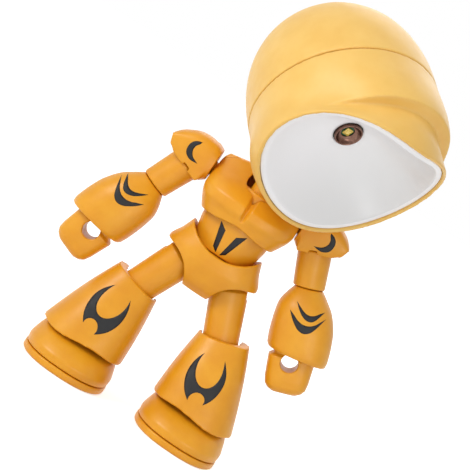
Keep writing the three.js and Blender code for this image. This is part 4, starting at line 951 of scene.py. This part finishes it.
def ring_of(arcs):
    """Points along the smooth arcs of an outline."""
    ring = []
    for arc, after in zip(arcs, arcs[1:] + arcs[:1]):
        p = np.array(arc + [after[0]], float)
        p = np.vstack([2 * p[0] - p[1], p, 2 * p[-1] - p[-2]])
        for a, b, c, d in zip(p, p[1:], p[2:], p[3:]):
            steps = max(2, round(np.linalg.norm(c - b) / INK_STEP))
            for t in np.arange(steps) / steps:
                bend = (2 * a - 5 * b + 4 * c - d) * t * t + (3 * b - a - 3 * c + d) * t ** 3
                ring.append((2 * b + (c - a) * t + bend) / 2)
    return np.array(ring)


def filled(ring):
    """Points and triangles that fill a ring: the ring's own points and a grid inside it."""
    low, high = ring.min(axis=0), ring.max(axis=0)
    columns, rows = (np.arange(low[k], high[k], INK_GRID) for k in (0, 1))
    grid = np.stack(np.meshgrid(columns, rows), axis=-1).reshape(-1, 2)
    after = np.roll(ring, -1, axis=0)
    above = (ring[:, 1] > grid[:, 1:]) != (after[:, 1] > grid[:, 1:])
    with np.errstate(divide="ignore", invalid="ignore"):
        slope = (after[:, 0] - ring[:, 0]) / (after[:, 1] - ring[:, 1])
        cross = ring[:, 0] + (grid[:, 1:] - ring[:, 1]) * slope
    inside = np.sum(above & (grid[:, :1] < cross), axis=1) % 2 == 1
    clear = np.min(np.linalg.norm(grid[:, None] - ring[None], axis=2), axis=1) > INK_GRID / 2
    points = np.concatenate([ring, grid[inside & clear]])
    order = list(range(len(ring)))
    keep_inside = 1
    made = delaunay_2d_cdt([Vector(p) for p in points.tolist()], [], [order], keep_inside, 1e-6)
    return np.array([list(v) for v in made[0]]), [tuple(f) for f in made[2]]


def ink_mesh(arcs, place, mesh, shift=(0, 0)):
    """A thin closed film over the front of a mesh, inside an outline."""
    flat, faces = filled(ring_of(arcs) + np.array(shift))
    shape = BVHTree.FromPolygons(points_of(mesh).tolist(), [tuple(p.vertices) for p in mesh.polygons])
    towards = Vector(place.turn[:, 1])
    top, bottom = [], []
    for x, z in flat:
        start = Vector(place.outside(np.array([x, -IN_FRONT, z])))
        hit, facing, _, _ = shape.ray_cast(start, towards)
        if hit is None:  # just past the piece's side
            hit, facing, _, _ = shape.find_nearest(start + towards * (IN_FRONT - BESIDE))
        top.append(hit + facing * INK_LIFT)
        bottom.append(hit - facing * INK_SINK)
    count = len(flat)
    sides = {(a, b) for face in faces for a, b in zip(face, face[1:] + face[:1])}
    made = list(faces) + [tuple(count + k for k in reversed(face)) for face in faces]
    made += [(b, a, count + a, count + b) for a, b in sorted(sides) if (b, a) not in sides]
    film = bpy.data.meshes.new("film")
    film.from_pydata([tuple(v * MM) for v in top + bottom], [], made)
    film.update()
    return outward(film)


# Each mark's shift is how far the right side's lies outwards and up of the mean of both sides.
MARKS = [
    ("shin_mark", "shin_armour", "shin", SHIN, SHIN_HORNS, (0.85, 0.41)),
    ("forearm_upper_band", "forearm_bell", "forearm", FOREARM, UPPER_BAND, (0.54, 0.87)),
    ("forearm_lower_band", "forearm_bell", "forearm", FOREARM, LOWER_BAND, (0.45, 0.95)),
    ("shoulder_mark", "shoulder_armour", "shoulder", SHOULDER, PAD_CRESCENT, (-1.09, 0.7)),
]
for label, under, body, place, arcs, (out, rise) in MARKS:
    left_film = ink_mesh(arcs, place, limb_meshes[under], (-out, -rise))
    right_film = mirrored(ink_mesh(arcs, place, limb_meshes[under], (out, rise)))
    piece(label + "_left", left_film, ink_black, body + "_left", "black_plastic")
    piece(label + "_right", right_film, ink_black, body + "_right", "black_plastic")
for side, arcs in (("right", RIGHT_BAR), ("left", LEFT_BAR)):
    piece(f"waist_bar_{side}", ink_mesh(arcs, BODY, barrel_mesh), ink_black, "torso", "black_plastic")


# Looks of the CAD nodes that stay

CAD_LOOKS = {
    "led_board": board_green,
    "battery_tray": black_plastic,
    "switch_body": black_plastic,
    "battery_cell": jacket_blue,
    "contact_strip": nickel,
    "head_screw": steel,
    "chest_screw": steel,
    "neck_pin": steel,
    "arm_pin": body_orange,
    "hip_pin": steel,
    "knee_pin": steel,
    "ankle_pin": steel,
    "hip_knuckle": body_orange,
}
for name, obj in frame["nodes"].items():
    if obj.hide_render:
        continue
    look = next(look for start, look in CAD_LOOKS.items() if name.startswith(start))
    obj.data.materials.clear()
    obj.data.materials.append(look)


# The stage: a pale floor and soft studio light

FLOOR_HALF_M = 6.0
FLOOR_DROP = 0.02  # mm below the feet
FLOOR_GLOW = 0.62  # not for diffuse rays, so that the floor doesn't glow onto the lamp
SOFT_STRENGTH = 0.54


def camera_paths(n):
    """1 for a ray that shows the background: from the camera, or by a gloss or glass surface."""
    path = n.add("ShaderNodeLightPath")
    first = n.add("ShaderNodeMath", operation="MAXIMUM")
    second = n.add("ShaderNodeMath", operation="MAXIMUM")
    n.link(path.outputs["Is Camera Ray"], first.inputs[0])
    n.link(path.outputs["Is Glossy Ray"], first.inputs[1])
    n.link(first.outputs[0], second.inputs[0])
    n.link(path.outputs["Is Transmission Ray"], second.inputs[1])
    return second.outputs[0]


def floor_look():
    n = Nodes(bpy.data.materials.new("floor_white"))
    grain = n.noise(20.0, 4.0)
    diffuse = n.add("ShaderNodeBsdfDiffuse")
    tones = [(0.3, (0.86, 0.86, 0.86, 1)), (0.7, (0.9, 0.9, 0.9, 1))]
    n.link(n.ramp(grain, tones), diffuse.inputs["Color"])
    glow = n.add("ShaderNodeEmission")
    glow.inputs["Strength"].default_value = FLOOR_GLOW
    both = n.add("ShaderNodeAddShader")
    n.link(diffuse.outputs[0], both.inputs[0])
    n.link(glow.outputs[0], both.inputs[1])
    mix = n.add("ShaderNodeMixShader")
    n.link(camera_paths(n), mix.inputs["Fac"])
    n.link(diffuse.outputs[0], mix.inputs[1])
    n.link(both.outputs[0], mix.inputs[2])
    n.link(mix.outputs[0], n.output.inputs["Surface"])
    return n.owner


def build_stage():
    corners = [(-1, -1), (1, -1), (1, 1), (-1, 1)]
    points = [(x * FLOOR_HALF_M, y * FLOOR_HALF_M, -FLOOR_DROP * MM) for x, y in corners]
    mesh = bpy.data.meshes.new("floor")
    mesh.from_pydata(points, [], [(0, 1, 2, 3)])
    floor = add_object("floor", mesh, floor_look())

    world = bpy.data.worlds.new("studio")
    bpy.context.scene.world = world
    n = Nodes(world, "ShaderNodeOutputWorld")
    soft = n.add("ShaderNodeBackground")
    soft.inputs["Color"].default_value = (1, 1, 1, 1)
    soft.inputs["Strength"].default_value = SOFT_STRENGTH
    white = n.add("ShaderNodeBackground")
    white.inputs["Color"].default_value = (1, 1, 1, 1)
    white.inputs["Strength"].default_value = 1.0
    mix = n.add("ShaderNodeMixShader")
    n.link(camera_paths(n), mix.inputs["Fac"])
    n.link(soft.outputs[0], mix.inputs[1])
    n.link(white.outputs[0], mix.inputs[2])
    n.link(mix.outputs[0], n.output.inputs["Surface"])


def area_light(name, place_m, target_m, size_m, watts):
    light = bpy.data.lights.new(name, "AREA")
    light.shape = "SQUARE"
    light.size = size_m
    light.energy = watts
    obj = bpy.data.objects.new(name, light)
    bpy.context.scene.collection.objects.link(obj)
    obj.location = place_m
    obj.rotation_euler = (Vector(target_m) - Vector(place_m)).to_track_quat("-Z", "Y").to_euler()
    return obj


build_stage()
MIDDLE_M = (0, 0.01, 0.1)
area_light("key", (-0.8, -0.75, 0.75), MIDDLE_M, 0.5, 7.6)
area_light("fill", (0.45, -0.95, 0.02), (0.02, 0.01, 0.13), 0.5, 3.4)
area_light("back", (0.1, 0.8, 0.7), MIDDLE_M, 0.7, 2.0)


# The camera, as in the photograph: nearly level, and rolled

EYE = Vector((1.0, -681.4, 153.1))
AIM = Vector((1.0, 18.6, 87.1))
ROLL = math.radians(34)
FOCAL_PIXELS, FRAME_PIXELS = 1674, 470
SENSOR_MM, NEAR_M = 36, 0.01

forward = (AIM - EYE).normalized()
right = forward.cross(Vector((0, 0, 1))).normalized()
up = right.cross(forward)
across = right * math.cos(ROLL) + up * math.sin(ROLL)
upward = up * math.cos(ROLL) - right * math.sin(ROLL)
camera_data = bpy.data.cameras.new("camera")
camera_data.sensor_width = SENSOR_MM
camera_data.lens = SENSOR_MM * FOCAL_PIXELS / FRAME_PIXELS
camera_data.clip_start = NEAR_M
camera = bpy.data.objects.new("camera", camera_data)
bpy.context.scene.collection.objects.link(camera)
turn = Matrix((across, upward, -forward)).transposed()
camera.matrix_world = Matrix.Translation(EYE * MM) @ turn.to_4x4()
bpy.context.scene.camera = camera
bpy.context.scene.view_settings.view_transform = "Standard"
